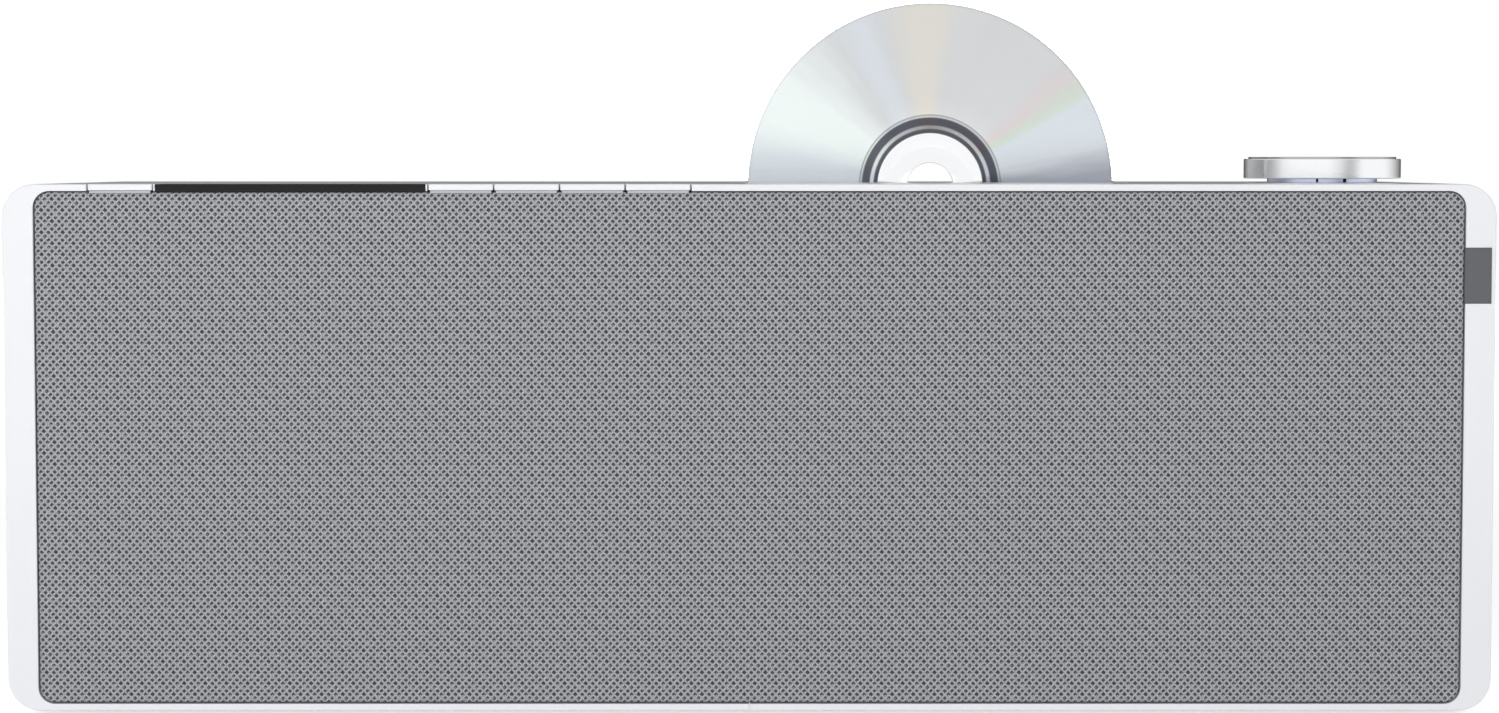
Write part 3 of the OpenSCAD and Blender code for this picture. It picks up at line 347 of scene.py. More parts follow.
# %% [markdown]
# ## The woven grille
# The cloth is stretched over a frame and wrapped round its sides. It is made as the flat cut itself:
# every point also gets the place it had in the flat cloth, as its UV, so the weave runs over the edge
# without stretching. Outlines step over the frame's edge, and the last one is filled as the flat
# front.

# %% Grille cloth
def wrapped_sheet(wide, high, corner, face, depth, bend, steps=6):
    """Outlines from the wrap's end over the bend to the flat front. The cloth's place before it was
    stretched is the bend's start plus, along the outline's outward normal, the length already run."""
    turn = np.linspace(0, np.pi / 2, steps)
    straight, quarter = 0.3 * MM, bend * np.pi / 2
    inset = np.concatenate([[0, 0], bend * (1 - np.cos(turn))])
    level = np.concatenate([[face + depth, face + bend + straight], face + bend * (1 - np.sin(turn))])
    run = np.concatenate([[depth - bend + quarter, straight + quarter], bend * (np.pi / 2 - turn)])
    flat = rounded_rectangle(wide - 2 * bend, high - 2 * bend, corner - bend, 12)
    away = (rounded_rectangle(wide, high, corner, 12) - flat) / bend
    rings, flats = [], []
    for i, y, r in zip(inset, level, run):
        ring = rounded_rectangle(wide - 2 * i, high - 2 * i, corner - i, 12)
        rings.append(placed(ring, y, "y", (0, middle_z)))
        flats.append(flat + away * r)
    points, faces = loft(rings, ends=False)
    faces.append(list(range(len(points) - len(flat), len(points))))
    return points, faces, np.concatenate(flats)


def flat_uv(mesh, flats):
    """Writes each point's place in the flat cut, in metres, as the mesh's UV."""
    corner = np.zeros(len(mesh.loops), int)
    mesh.loops.foreach_get("vertex_index", corner)
    layer = mesh.uv_layers.new(name="flat_cut")
    layer.data.foreach_set("uv", flats[corner].astype(np.float32).ravel())


cloth_gap, turned_in = 0.3 * MM, 5.65 * MM
grille_w, grille_h = width - 2 * (cheek + cloth_gap), height - 2 * (wall + cloth_gap)
cloth_y = front_y + 0.3 * MM
points, faces, flats = wrapped_sheet(grille_w, grille_h, 4.5 * MM, cloth_y, 6 * MM, 1.1 * MM)
cloth_mesh = put_faces("woven_grille", [(points, faces)])
flat_uv(cloth_mesh, flats)
cloth_mesh.polygons.foreach_set("use_smooth", np.ones(len(cloth_mesh.polygons), bool))
cloth = bpy.data.objects.new("woven_grille", cloth_mesh)
bpy.context.scene.collection.objects.link(cloth)
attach(cloth, "cabinet")
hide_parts("grille_cloth")
made["woven_grille"] = cloth
cloth.modifiers.new("flat_faces", "WEIGHTED_NORMAL")

# %% [markdown]
# ## The blank strip on the cheek
# A short woven strip is folded and caught between grille and cheek. It is a sheet too: its profile
# comes forward out of the gap, turns over with a small radius and lies on the cheek. A Solidify
# modifier gives it the thickness of its two layers.

# %% Fabric strip
tag_low, tag_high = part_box("fabric_tag")


def strip_profile():
    """In plan, from inside the gap round the fold to the free end: straight, quarter circle, straight
    with a slight lift towards the end."""
    off_cheek, end_lift = 0.12 * MM, 0.04 * MM
    x0, x1 = side_x - cheek - 0.14 * MM, tag_high.x + 0.5 * MM
    path = [(x0, tag_high.y), (x0, front_y - off_cheek), (x1, front_y - off_cheek)]
    line = rounded_corners(path, [0, 0.2 * MM, 0], steps=6)
    end = np.linspace(line[-2], line[-1], 12)[1:]
    end[:, 1] -= end_lift * np.linspace(0, 1, len(end)) ** 2
    return np.concatenate([line[:-1], end])


plan = strip_profile()
along = np.concatenate([[0], np.cumsum(np.linalg.norm(np.diff(plan, axis=0), axis=1))])
rows = 24
levels = np.linspace(tag_low.z, tag_high.z, rows)
strip_points = np.stack([np.repeat(plan[None, :, 0], rows, 0), np.repeat(plan[None, :, 1], rows, 0),
                         np.repeat(levels[:, None], len(plan), 1)], -1)
grid = np.arange(rows * len(plan)).reshape(rows, len(plan))
strip_faces = np.stack([grid[:-1, :-1], grid[1:, :-1], grid[1:, 1:], grid[:-1, 1:]], -1).reshape(-1, 4)
strip_mesh = put_faces("cheek_strip", [(strip_points.reshape(-1, 3), strip_faces.tolist())])
flat_places = np.stack([np.repeat(along[None], rows, 0), np.repeat(levels[:, None], len(plan), 1)], -1)
flat_uv(strip_mesh, flat_places.reshape(-1, 2))
strip_mesh.polygons.foreach_set("use_smooth", np.ones(len(strip_mesh.polygons), bool))
strip = bpy.data.objects.new("cheek_strip", strip_mesh)
bpy.context.scene.collection.objects.link(strip)
thick = strip.modifiers.new("two_layers", "SOLIDIFY")
thick.thickness, thick.offset = 0.22 * MM, 0
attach(strip, "cabinet")
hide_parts("fabric_tag")
made["cheek_strip"] = strip
print("strip", round(float(along[-1]) / MM, 1), "mm of cloth from the gap to its end")

# %% [markdown]
# ## Keys and display
# Five keys and the black display share one notch in the top front edge. Each key is a small moulded
# block: rounded by a quarter of a millimetre all round, which is what makes the gaps between keys
# read as fine dark lines with soft light edges. The display's lens is one glossy block in a light rim.
# Below each key a light grey strip of soft foam closes the notch, so no light falls through; its grey is set
# darker than the keys as painted shade for the shadow under them. A pressed key comes down on its strip, so
# each strip is a piece of its own, with its own mesh.

# %% Keys, rim and lens
key_wide = 19.8
key_left = [-199.4, -96.8, -77.0, -57.2, -37.4]
key_bodies = ["power_key", "key_one", "key_two", "key_three", "key_four"]
key_nodes = ["key_power", "key_1", "key_2", "key_3", "key_4"]
for left, body, node in zip(key_left, key_bodies, key_nodes):
    low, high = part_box(node)
    cap = block((low.x, low.y, top_z - 1.9 * MM), (high.x, high.y, top_z), 0.5 * MM, 0.25 * MM)
    stem_r, tip_r, stem_top = 1.4 * MM, 1.1 * MM, top_z - 1.2 * MM
    stem = lathe([(0, low.z), (tip_r, low.z), (stem_r, low.z + 0.3 * MM), (stem_r, stem_top),
                  (0, stem_top)], ((low.x + high.x) / 2, front_y + 13 * MM, 0), count=20)
    piece(f"{node}_cap", [cap, stem], body, [node])

seal_foot, seal_top, seal_in = top_z - 2.75 * MM, top_z - 1.97 * MM, 0.7 * MM
for left, body in zip(key_left, key_bodies):
    foam = block((left * MM + seal_in, front_y + 0.05 * MM, seal_foot),
                 ((left + key_wide) * MM - seal_in, front_y + 0.28 * MM, seal_top), 0.1 * MM, 0.05 * MM)
    seal = piece(f"{body}_seal", [foam], "cabinet")
    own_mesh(seal)

lens_low, lens_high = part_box("display_lens")
piece("display_glass", [block(lens_low, lens_high, 0.3 * MM, 0.15 * MM)], "cabinet",
      ["display_lens"])
print("display lens", [round((b - a) / MM, 1) for a, b in zip(lens_low, lens_high)], "mm")

# %% [markdown]
# ## The knob
# A hollow turned knob with a separate cap lies flat over a fixed collar. A profile with small
# roundings, turned once round, gives all of it, and the underside is open as on the real one, because
# the collar shows in the gap.

# %% Knob, cap and collar
shell_r, shell_inner, foot_inner = 25.35 * MM, 22.35 * MM, 18.6 * MM
hub_r, bore_r, cap_r = 6 * MM, 3.03 * MM, 23.85 * MM
collar_r, collar_inner = 17.75 * MM, 12 * MM
knob_base, knob_roof = knob_low.z, knob_high.z
foot_top, roof_under, bore_top = knob_base + 0.7 * MM, knob_roof - 1.5 * MM, knob_roof - 1 * MM
body_profile = rounded_corners(
    [(0, knob_roof), (shell_r, knob_roof), (shell_r, knob_base), (foot_inner, knob_base),
     (foot_inner, foot_top), (shell_inner, foot_top), (shell_inner, roof_under), (hub_r, roof_under),
     (hub_r, foot_top), (bore_r, foot_top), (bore_r, bore_top), (0, bore_top)],
    np.array([0, 0.35, 0.3, 0.1, 0.1, 0, 0.5, 0.3, 0.2, 0.1, 0, 0]) * MM)
piece("knob_shell", [lathe(body_profile, knob_axis, count=192)], "knob",
      ["knob_body"], sharp=50)
cap_low, cap_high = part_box("knob_cap")
cap_profile = rounded_corners([(0, cap_high.z), (cap_r, cap_high.z), (cap_r, cap_low.z), (0, cap_low.z)],
                              [0, 0.15 * MM, 0, 0])
knob_top = piece("knob_disc", [lathe(cap_profile, knob_axis, count=192)], "knob",
                 ["knob_cap"], sharp=50)
collar_low, collar_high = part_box("knob_collar")
collar_profile = rounded_corners(
    [(collar_r, collar_high.z), (collar_r, collar_low.z), (collar_inner, collar_low.z),
     (collar_inner, collar_high.z)], np.array([0.12, 0.05, 0.05, 0.12]) * MM, True)
piece("collar_ring", [lathe(collar_profile, knob_axis, count=192, closed=True)], "cabinet",
      ["knob_collar"], sharp=50)


def notch_shade_pad(turn, wide):
    """A dark pad set in the collar as painted shade for a notch: a short arc of the ring, a hair proud, at
    an angle from the front.
    """
    proud, thick = 0.03 * MM, 0.98 * MM
    half = math.degrees(wide * MM / 2 / collar_r)
    steps = np.radians(turn - 90 + np.linspace(-half, half, 7))
    ring = np.stack([np.cos(steps), np.sin(steps)], -1)
    outline = np.concatenate([ring * (collar_r + proud), ring[::-1] * (collar_r + proud - thick)])
    levels = (collar_low.z + 0.1 * MM, collar_high.z - 0.14 * MM)
    return loft([placed(outline, z, "z", (knob_x, knob_y)) for z in levels])


# two dark pads on the plain collar paint the shade of its notches
piece("collar_notch_shades", [notch_shade_pad(-14.5, 0.75), notch_shade_pad(14.4, 1.15)], "cabinet")
print("knob", round((knob_high.x - knob_low.x) / MM, 2), "mm across")

# %% [markdown]
# ## The disc
# A disc is clear plastic with a metal layer that starts at the stacking ring and stops short of the
# rim. One turned profile gives the whole solid; its faces are then given the clear or the metal finish
# by their distance from the middle, so the rings stay sharp at any size of picture.

# %% Disc
disc_radius, disc_half, rim_round = 60, 0.6 * MM, 0.08
# rings of the front in mm: distance from the middle, and how deep the face lies there
ring_radii = np.array([7.5, 7.7, 17.1, 17.3, 18.4, 18.6, 19.6, 19.8, 22.3, 23.3, 30, 37, 44, 51, 58.7, 59.5,
                       disc_radius])
ring_sunk = np.array([0.06, 0, 0, 0.1, 0.1, 0, 0, 0.04, 0.04, 0, 0, 0, 0, 0, 0, 0, rim_round])
front_side = np.stack([ring_radii * MM, -disc_half + ring_sunk * MM], -1)
back_side = np.stack([ring_radii[::-1] * MM, np.full(len(ring_radii), disc_half)], -1)
back_side[0, 1] -= rim_round * MM
disc_profile = np.concatenate([front_side, back_side])
disc = piece("silver_disc", [lathe(disc_profile, disc_middle, "y", count=256, closed=True)], "disc",
             ["disc"], sharp=25, weighted=False)
print("disc", round((disc_high.x - disc_low.x) / MM, 1), "mm across")

# %% [markdown]
# ## The slot's lips
# The slot is lined with a moulded frame whose mouth is rounded, so a disc slides in without catching,
# and felt strips inside keep dust out. The frame is a loft of rounded rectangles that goes up the
# outside, over the rim and down the inside.

# %% Slot frame and felt
def slot_frame():
    """Outside: plain sides up to a rounded rim. Inside: a mouth that narrows along a quarter circle,
    then straight down. A flange under the roof holds it."""
    wide, deep, corner = 130 * MM, 9.5 * MM, 1 * MM
    gap_w, gap_d, gap_corner = 124 * MM, 3.5 * MM, 0.4 * MM
    turn = np.linspace(0, np.pi / 2, 5)
    low, under = top_z - 6 * MM, top_z - wall
    rim, mouth, brim, brim_thick = 0.3 * MM, 0.7 * MM, 6 * MM, 1.6 * MM
    side, flange = (wide, deep, corner), (wide + brim, deep + brim, 2 * MM)
    outlines = [side, side, flange, flange, side]
    levels = [low, under - brim_thick, under - brim_thick, under, under]
    for c, s in zip(np.cos(turn), np.sin(turn)):
        less = rim * (1 - c)
        outlines.append((wide - 2 * less, deep - 2 * less, corner - less))
        levels.append(top_z - rim + rim * s)
    for c, s in zip(np.cos(turn), np.sin(turn)):
        more = mouth * (1 - s)
        outlines.append((gap_w + 2 * more, gap_d + 2 * more, gap_corner + more))
        levels.append(top_z - mouth * (1 - c))
    outlines.append((gap_w, gap_d, gap_corner))
    levels.append(low)
    return loft([placed(rounded_rectangle(w, h, r, 8), at, "z", (disc_x, disc_y))
                 for (w, h, r), at in zip(outlines, levels)], closed=True)


piece("slot_frame", [slot_frame()], "cabinet", ["slot_liner"], sharp=40)
felt_half_w, felt_y, felt_half_d = 61.5 * MM, 1.35 * MM, 0.4 * MM
felt = [block((disc_x - felt_half_w, disc_y + s * felt_y - felt_half_d, top_z - 5.5 * MM),
              (disc_x + felt_half_w, disc_y + s * felt_y + felt_half_d, top_z - 0.45 * MM),
              0.35 * MM, 0.3 * MM) for s in (-1, 1)]
piece("felt_lips", felt, "cabinet", ["slot_felt"])

# %% [markdown]
# ## Feet, screws and inserts
# Small turned parts repeat: four rubber pads, eight screws with a hexagon socket, four threaded
# inserts. A socket is the same loft as everything else, only its outlines change from a circle to a
# hexagon on the way in.

# %% Feet
pad_r, plug_r, plug_top = 9 * MM, 2.95 * MM, base_z + wall
foot_profile = rounded_corners([(0, 0), (pad_r, 0), (pad_r, base_z), (plug_r, base_z), (plug_r, plug_top),
                                (0, plug_top)], np.array([0, 0.6, 0.1, 0, 0.2, 0]) * MM)
piece("rubber_pads", [lathe(foot_profile, (x, y, 0), count=64) for x, y in foot_places], "cabinet",
      ["rubber_feet"])

# %% Screws and inserts
def socket_screw(centre, face, head, shank, length, thick, count=48):
    """Along y: the head's face points to +y. The outline runs from the socket's floor up its six
    walls, over the head's rounded rim, down to the shank and to its tip."""
    key, floor_at, chamfer = head * 0.5, -thick * 0.55, 0.06 * MM
    turn = np.linspace(0, np.pi / 2, 4)
    rim = thick * 0.3
    steps = [(0.0, 6, floor_at), (key, 6, floor_at), (key, 6, -chamfer), (key + chamfer, 6, 0)]
    steps += [(head - rim + rim * s, 0, -rim + rim * c) for s, c in zip(np.sin(turn), np.cos(turn))]
    steps += [(head, 0, -thick), (shank, 0, -thick), (shank, 0, -thick - length + shank),
              (0.0, 0, -thick - length)]
    return loft([placed(regular_outline(max(r, 1e-7), sides, count), face + at, "y", centre)
                 for r, sides, at in steps], ends=False)


screws = [socket_screw(centre, cover_out - 0.2 * MM, 3 * MM, 1.45 * MM, 8 * MM, 1.4 * MM)
          for centre in cover_screws]
piece("cover_screws", screws, "cabinet", ["rear_screws"], sharp=35)


def insert(x, z):
    """A round bush: closed at its inner end, with grooves for a thread of 0.7 mm pitch inside."""
    depth = np.arange(0, 6.3, 0.35)
    radius = np.where(np.arange(len(depth)) % 2 == 0, 2.22, 2.0)
    thread = np.stack([radius, -0.45 - depth], -1)
    profile = np.concatenate([[(0, -8), (2.7, -8), (3, -7.7), (3, -0.15), (2.85, 0), (2.4, 0)], thread,
                              [(2.0, -7), (0, -7)]]) * MM
    return lathe(profile + [0, cover_out], (x, 0, z), "y", count=40)


bolt_half = 50 * MM
inserts = [insert(sx * bolt_half, middle_z + sz * bolt_half) for sx in (-1, 1) for sz in (-1, 1)]
piece("threaded_inserts", inserts, "cabinet", ["wall_inserts"], sharp=30)

# %% [markdown]
# ## The back
# The cover is a plain moulded plate with recesses for its screws, slits for cooling air and openings
# for the sockets. Its shape in the CAD is right, so a copy of the node is taken, its loose triangles
# are merged, and the edges are broken by a fraction of a millimetre.

# %% Broken-edge copies of CAD nodes
def broken_copy(node, name, wide):
    """A merged copy of one of the cabinet's CAD nodes with its sharp edges broken."""
    mesh = nodes[node].data.copy()
    mesh.name = name
    work = bmesh.new()
    work.from_mesh(mesh)
    bmesh.ops.remove_doubles(work, verts=work.verts, dist=2e-6)
    bmesh.ops.dissolve_limit(work, angle_limit=math.radians(0.4), verts=work.verts, edges=work.edges)
    work.to_mesh(mesh)
    work.free()
    mesh.materials.clear()
    mesh.polygons.foreach_set("use_smooth", np.ones(len(mesh.polygons), bool))
    mesh.set_sharp_from_angle(angle=math.radians(32))
    thing = bpy.data.objects.new(name, mesh)
    bpy.context.scene.collection.objects.link(thing)
    soften(thing, wide)
    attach(thing, "cabinet")
    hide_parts(node)
    made[name] = thing
    print(f"{name}: {len(mesh.polygons)} faces before its edges are broken")


broken_copy("rear_cover", "back_plate", 0.2 * MM)
broken_copy("mains_inlet", "mains_socket", 0.2 * MM)
broken_copy("network_socket", "network_shell", 0.15 * MM)
broken_copy("audio_jack", "jack_body", 0.12 * MM)
broken_copy("display_bezel", "display_rim", 0.08 * MM)

# %% Bass port and the sockets' small parts
port_x, port_z = -120 * MM, base_z + 93 * MM
port_profile = rounded_corners(
    [(17.0, -60), (19, -60), (19, -5), (24, -5), (24, -3), (19, -3), (19, 0), (18.4, 0), (17.0, -3.5)],
    [0.9, 0.9, 0.3, 0.2, 0.2, 0.2, 0.25, 1.2, 6], closed=True, steps=6) * MM
flared_port = lathe(port_profile + [0, cover_out], (port_x, 0, port_z), "y", count=96, closed=True)
piece("flared_port", [flared_port], "cabinet", ["bass_port"], sharp=40)

socket_z = base_z + 33 * MM
mains_x, network_x, jack_x = 180 * MM, 145 * MM, 120 * MM
pin_apart, contact_pitch, contact_half = 8.6 * MM, 1.02 * MM, 0.2 * MM
pin_profile = rounded_corners([(0, -12.6), (1.15, -12.6), (1.15, -1.5), (0, -1.5)], [0, 0, 0.9, 0]) * MM
pins = [lathe(pin_profile + [0, cover_out], (mains_x + s * pin_apart / 2, 0, socket_z), "y", count=24)
        for s in (-1, 1)]
contacts = [block((x - contact_half, cover_out - 11.9 * MM, socket_z + 2.6 * MM),
                  (x + contact_half, cover_out - 3.5 * MM, socket_z + 3.3 * MM),
                  0.1 * MM, 0.08 * MM, axis="y")
            for x in network_x + (np.arange(8) - 3.5) * contact_pitch]
piece("mains_pins", pins, "cabinet")
piece("network_contacts", contacts, "cabinet")
ring_profile = rounded_corners([(1.82, -6), (2.9, -6), (2.9, 0.0), (1.82, 0.0)], [0, 0, 0.2, 0.3],
                               closed=True)
jack_ring = lathe(ring_profile * MM + [0, cover_out], (jack_x, 0, socket_z), "y", 48, True)
piece("jack_ring", [jack_ring], "cabinet", sharp=40)
print("back pieces made")

# %% [markdown]
# ## Finishes
# A material is a small graph of nodes. To keep each one readable, a helper adds a node, sets the
# values that are plain numbers and links the ones that are sockets. Effects that several finishes
# share are node groups with named inputs: the fine grain of paint, plastic and blasted metal, the
# drawn lines of rolled or turned metal, and the woven net.

# %% Node helpers
def add(tree, kind, values=(), out=0, **settings):
    """Adds a node, sets or links its inputs by name or number, and gives back one output."""
    node = tree.nodes.new(kind)
    for key, value in settings.items():
        setattr(node, key, value)
    for key, value in dict(values).items():
        if isinstance(value, bpy.types.NodeSocket):
            tree.links.new(value, node.inputs[key])
        else:
            node.inputs[key].default_value = value
    return node.outputs[out]


def calc(tree, how, a, b=0.0, c=0.0, clamp=False):
    """One Math node."""
    return add(tree, "ShaderNodeMath", {0: a, 1: b, 2: c}, operation=how, use_clamp=clamp)


def blend_colours(tree, share, first, second):
    """Mixes two colours by a share."""
    return add(tree, "ShaderNodeMix", {0: share, 6: first, 7: second}, out=2, data_type="RGBA")


def grey(tree, value):
    """The same value three times, to scale a colour by."""
    return add(tree, "ShaderNodeCombineXYZ", {0: value, 1: value, 2: value})


def times(tree, first, second):
    """Two colours multiplied channel by channel."""
    return add(tree, "ShaderNodeVectorMath", {0: first, 1: second}, operation="MULTIPLY")


def place_in_object(tree):
    """A point's place in the piece's own metres, which are the object's."""
    return add(tree, "ShaderNodeTexCoord", out=3)


def bumped(tree, height, strength, distance):
    """A normal that follows a height."""
    return add(tree, "ShaderNodeBump", {"Strength": strength, "Distance": distance, "Height": height})


def ramp(tree, share, stops, how="LINEAR"):
    """A colour ramp with (place, colour) stops."""
    node = tree.nodes.new("ShaderNodeValToRGB")
    node.color_ramp.interpolation = how
    element = node.color_ramp.elements
    element[0].position, element[0].color = stops[0][0], (*stops[0][1], 1)
    element[1].position, element[1].color = stops[-1][0], (*stops[-1][1], 1)
    for place, colour in stops[1:-1]:
        element.new(place).color = (*colour, 1)
    tree.links.new(share, node.inputs[0])
    return node.outputs[0]


def group(name, inputs, outputs):
    """An empty node group with named inputs (kind, start value) and outputs, and its two end nodes."""
    tree = bpy.data.node_groups.new(name, "ShaderNodeTree")
    for label, (kind, value) in inputs.items():
        socket = tree.interface.new_socket(label, in_out="INPUT", socket_type="NodeSocket" + kind)
        if value is not None:
            socket.default_value = value
    for label, kind in outputs.items():
        tree.interface.new_socket(label, in_out="OUTPUT", socket_type="NodeSocket" + kind)
    return tree, tree.nodes.new("NodeGroupInput").outputs, tree.nodes.new("NodeGroupOutput").inputs


# %% Grain: paint, plastic, blasted metal
grain_tree, gin, gout = group(
    "fine_grain",
    {"Vector": ("Vector", None), "Colour": ("Color", (0.8, 0.8, 0.8, 1)), "Grain Size": ("Float", 0.0003),
     "Colour Spread": ("Float", 0.03), "Roughness": ("Float", 0.5), "Roughness Spread": ("Float", 0.06),
     "Bump": ("Float", 0.1)},
    {"Colour": "Color", "Roughness": "Float", "Normal": "Vector"})
fine_scale = calc(grain_tree, "DIVIDE", 1.0, gin["Grain Size"])
fine = add(grain_tree, "ShaderNodeTexNoise", {"Vector": gin["Vector"], "Scale": fine_scale, "Detail": 2.0})
broad = add(grain_tree, "ShaderNodeTexNoise", {"Vector": gin["Vector"], "Scale": 28.0, "Detail": 3.0})
both_sizes = calc(grain_tree, "ADD", calc(grain_tree, "MULTIPLY", fine, 0.5),
                  calc(grain_tree, "MULTIPLY", broad, 0.5))
off_middle = calc(grain_tree, "SUBTRACT", both_sizes, 0.5)
bright = calc(grain_tree, "MULTIPLY_ADD", off_middle, gin["Colour Spread"], 1.0)
rougher = calc(grain_tree, "MULTIPLY_ADD", off_middle, gin["Roughness Spread"], gin["Roughness"])
grain_tree.links.new(times(grain_tree, gin["Colour"], grey(grain_tree, bright)), gout["Colour"])
grain_tree.links.new(rougher, gout["Roughness"])
grain_tree.links.new(bumped(grain_tree, fine, gin["Bump"], 0.05 * MM), gout["Normal"])

# %% Drawn lines: rolled sheet and turned metal
line_tree, lin, lout = group(
    "drawn_lines",
    {"Vector": ("Vector", None), "Colour": ("Color", (0.7, 0.7, 0.7, 1)), "Colour Spread": ("Float", 0.1),
     "Roughness": ("Float", 0.3), "Roughness Spread": ("Float", 0.15), "Bump": ("Float", 0.1)},
    {"Colour": "Color", "Roughness": "Float", "Normal": "Vector"})
lines = add(line_tree, "ShaderNodeTexNoise", {"Vector": lin["Vector"], "Scale": 1.0, "Detail": 3.0,
                                              "Roughness": 0.7})
line_off = calc(line_tree, "SUBTRACT", lines, 0.5)
line_bright = calc(line_tree, "MULTIPLY_ADD", line_off, lin["Colour Spread"], 1.0)
line_rougher = calc(line_tree, "MULTIPLY_ADD", line_off, lin["Roughness Spread"], lin["Roughness"])
line_tree.links.new(times(line_tree, lin["Colour"], grey(line_tree, line_bright)), lout["Colour"])
line_tree.links.new(line_rougher, lout["Roughness"])
line_tree.links.new(bumped(line_tree, lines, lin["Bump"], 0.03 * MM), lout["Normal"])
print("groups:", grain_tree.name, line_tree.name)

# %% [markdown]
# ## The woven net
# Light threads cross on the slant and leave rows of dark holes. The holes aren't all alike: in the real
# cloth thinner threads run behind, so one big dark square comes back at every third hole along both
# threads, and the eight between are rounder, narrower, or half hidden behind a pale fibre. The group
# works in cells, one hole each: it turns the flat place into steps along both threads, takes the
# fraction as the place in the cell, and looks up the hole's shape from its number in the 3 x 3 repeat.

# %% Shapes of the nine holes
# half width along each thread, shift along each, place of the pale fibre and how much it hides,
# painted highlight on the two threads beside the hole, and how deep the painted shade at the crossing lies
hole_shapes = np.array([
    (0.33, 0.38, -0.03, -0.02, 0.08, -0.25, 0.26, 1.4, 0.1, 0.3),
    (0.35, 0.38, 0.02, 0.01, -0.08, 0.21, 0.90, 0.6, 0.5, 0.5),
    (0.39, 0.30, 0.05, 0.01, -0.10, 0.09, 0.68, 0.5, 1.0, 0.6),
    (0.37, 0.35, -0.02, 0.02, -0.14, -0.02, 0.41, 0.5, 0.0, 0.2),
    (0.38, 0.32, 0.00, 0.02, -0.14, 0.31, 0.72, 1.2, 0.1, 1.7),
    (0.40, 0.41, 0.04, -0.04, -0.32, 0.19, 0.44, 1.3, 1.5, 0.0),
    (0.32, 0.37, 0.01, 0.01, -0.24, 0.20, 0.42, 0.0, 0.0, 0.0),
    (0.35, 0.31, 0.00, -0.02, 0.21, -0.03, 0.32, 0.6, 0.0, 0.0),
    (0.42, 0.30, 0.11, -0.03, 0.32, -0.12, 0.90, 0.3, 0.4, 0.5)])
print("holes in the repeat:", len(hole_shapes))

# %% Woven net group
net_tree, nin, nout = group(
    "woven_net", {"Flat": ("Vector", None), "Across": ("Float", 1.07 * MM), "Up": ("Float", 1.11 * MM)},
    {"Thread": "Float", "Light": "Float", "Height": "Float"})
net = functools.partial(calc, net_tree)


def smooth(value, start, end):
    """Runs smoothly from 0 at start to 1 at end."""
    return add(net_tree, "ShaderNodeMapRange", {0: value, 1: start, 2: end, 3: 0.0, 4: 1.0},
               interpolation_type="SMOOTHSTEP")


def looked_up(number, columns, scale=1.0, lift=0.0):
    """Three columns of the hole shapes as a stepped ramp; scale and lift keep them between 0 and 1."""
    rows = (hole_shapes[:, columns] * scale + lift).tolist()
    stepped = ramp(net_tree, number, [(k / 9, tuple(row)) for k, row in enumerate(rows)], "CONSTANT")
    parts = add(net_tree, "ShaderNodeSeparateColor", {0: stepped}).node.outputs[:3]
    return [net("MULTIPLY_ADD", part, 1 / scale, -lift / scale) for part in parts]


place = add(net_tree, "ShaderNodeSeparateXYZ", {0: nin["Flat"]}).node.outputs
sideways, upwards = net("DIVIDE", place[0], nin["Across"]), net("DIVIDE", place[1], nin["Up"])
steps = [net("MULTIPLY_ADD", net(how, sideways, upwards), 0.5, -begin)
         for how, begin in (("ADD", 0.085), ("SUBTRACT", 0.409))]
cells = [net("FLOOR", step) for step in steps]
inside = [net("SUBTRACT", net("SUBTRACT", step, cell), 0.5) for step, cell in zip(steps, cells)]
thirds = [net("FLOORED_MODULO", cell, 3.0) for cell in cells]
number = net("DIVIDE", net("ADD", net("MULTIPLY_ADD", thirds[0], 3.0, thirds[1]), 0.5), 9.0)
half_a, half_b, shift_a = looked_up(number, [0, 1, 2], 1.0, 0.25)
shift_b, fibre_a, fibre_b = looked_up(number, [3, 4, 5], 1.0, 0.5)
hidden, lit_a, lit_b = looked_up(number, [6, 7, 8], 0.5)
crossing_shade = looked_up(number, [9, 9, 9], 0.5)[0]


def side_term(where, middle, half):
    """The distance from the middle as a share of the half width, raised to the outline's power."""
    return net("POWER", net("DIVIDE", net("ABSOLUTE", net("SUBTRACT", where, middle)), half), outline_power)


def apart(tree, a, b):
    """Length of the step (a, b)."""
    return calc(tree, "SQRT", calc(tree, "ADD", calc(tree, "MULTIPLY", a, a), calc(tree, "MULTIPLY", b, b)))


outline_power = 3.0
edge = net("POWER", net("ADD", side_term(inside[0], shift_a, half_a), side_term(inside[1], shift_b, half_b)),
           1 / outline_power)
opening = smooth(edge, 1.44, 0.56)
fibre_away = apart(net_tree, net("SUBTRACT", inside[0], fibre_a), net("SUBTRACT", inside[1], fibre_b))
fibre = smooth(fibre_away, 0.3, 0.0)
deep = net("MULTIPLY", opening, net("MULTIPLY_ADD", net("MULTIPLY", fibre, hidden), -1.0, 1.0))
thread = net("SUBTRACT", 1.0, deep)
from_middle = [net("ABSOLUTE", v) for v in inside]
to_border = [net("SUBTRACT", 0.5, v) for v in from_middle]
beside_a = net("MULTIPLY", smooth(to_border[1], 0.2, 0.0), smooth(from_middle[0], 0.5, 0.0))
beside_b = net("MULTIPLY", smooth(to_border[0], 0.2, 0.0), smooth(from_middle[1], 0.5, 0.0))
crossing = smooth(apart(net_tree, *to_border), 0.25, 0.0)
# painted light: a highlight on the threads beside each hole, less a painted shade where the threads cross
light = net("MULTIPLY_ADD", net("MULTIPLY", lit_a, beside_a), 0.38, 1.05)
light = net("ADD", light, net("MULTIPLY", net("MULTIPLY", lit_b, beside_b), 0.42))
light = net("SUBTRACT", light, net("MULTIPLY", net("MULTIPLY_ADD", crossing_shade, 0.27, 0.2), crossing))
net_tree.links.new(thread, nout["Thread"])
net_tree.links.new(light, nout["Light"])
net_tree.links.new(net("MULTIPLY", thread, light), nout["Height"])
print("net group nodes:", len(net_tree.nodes))

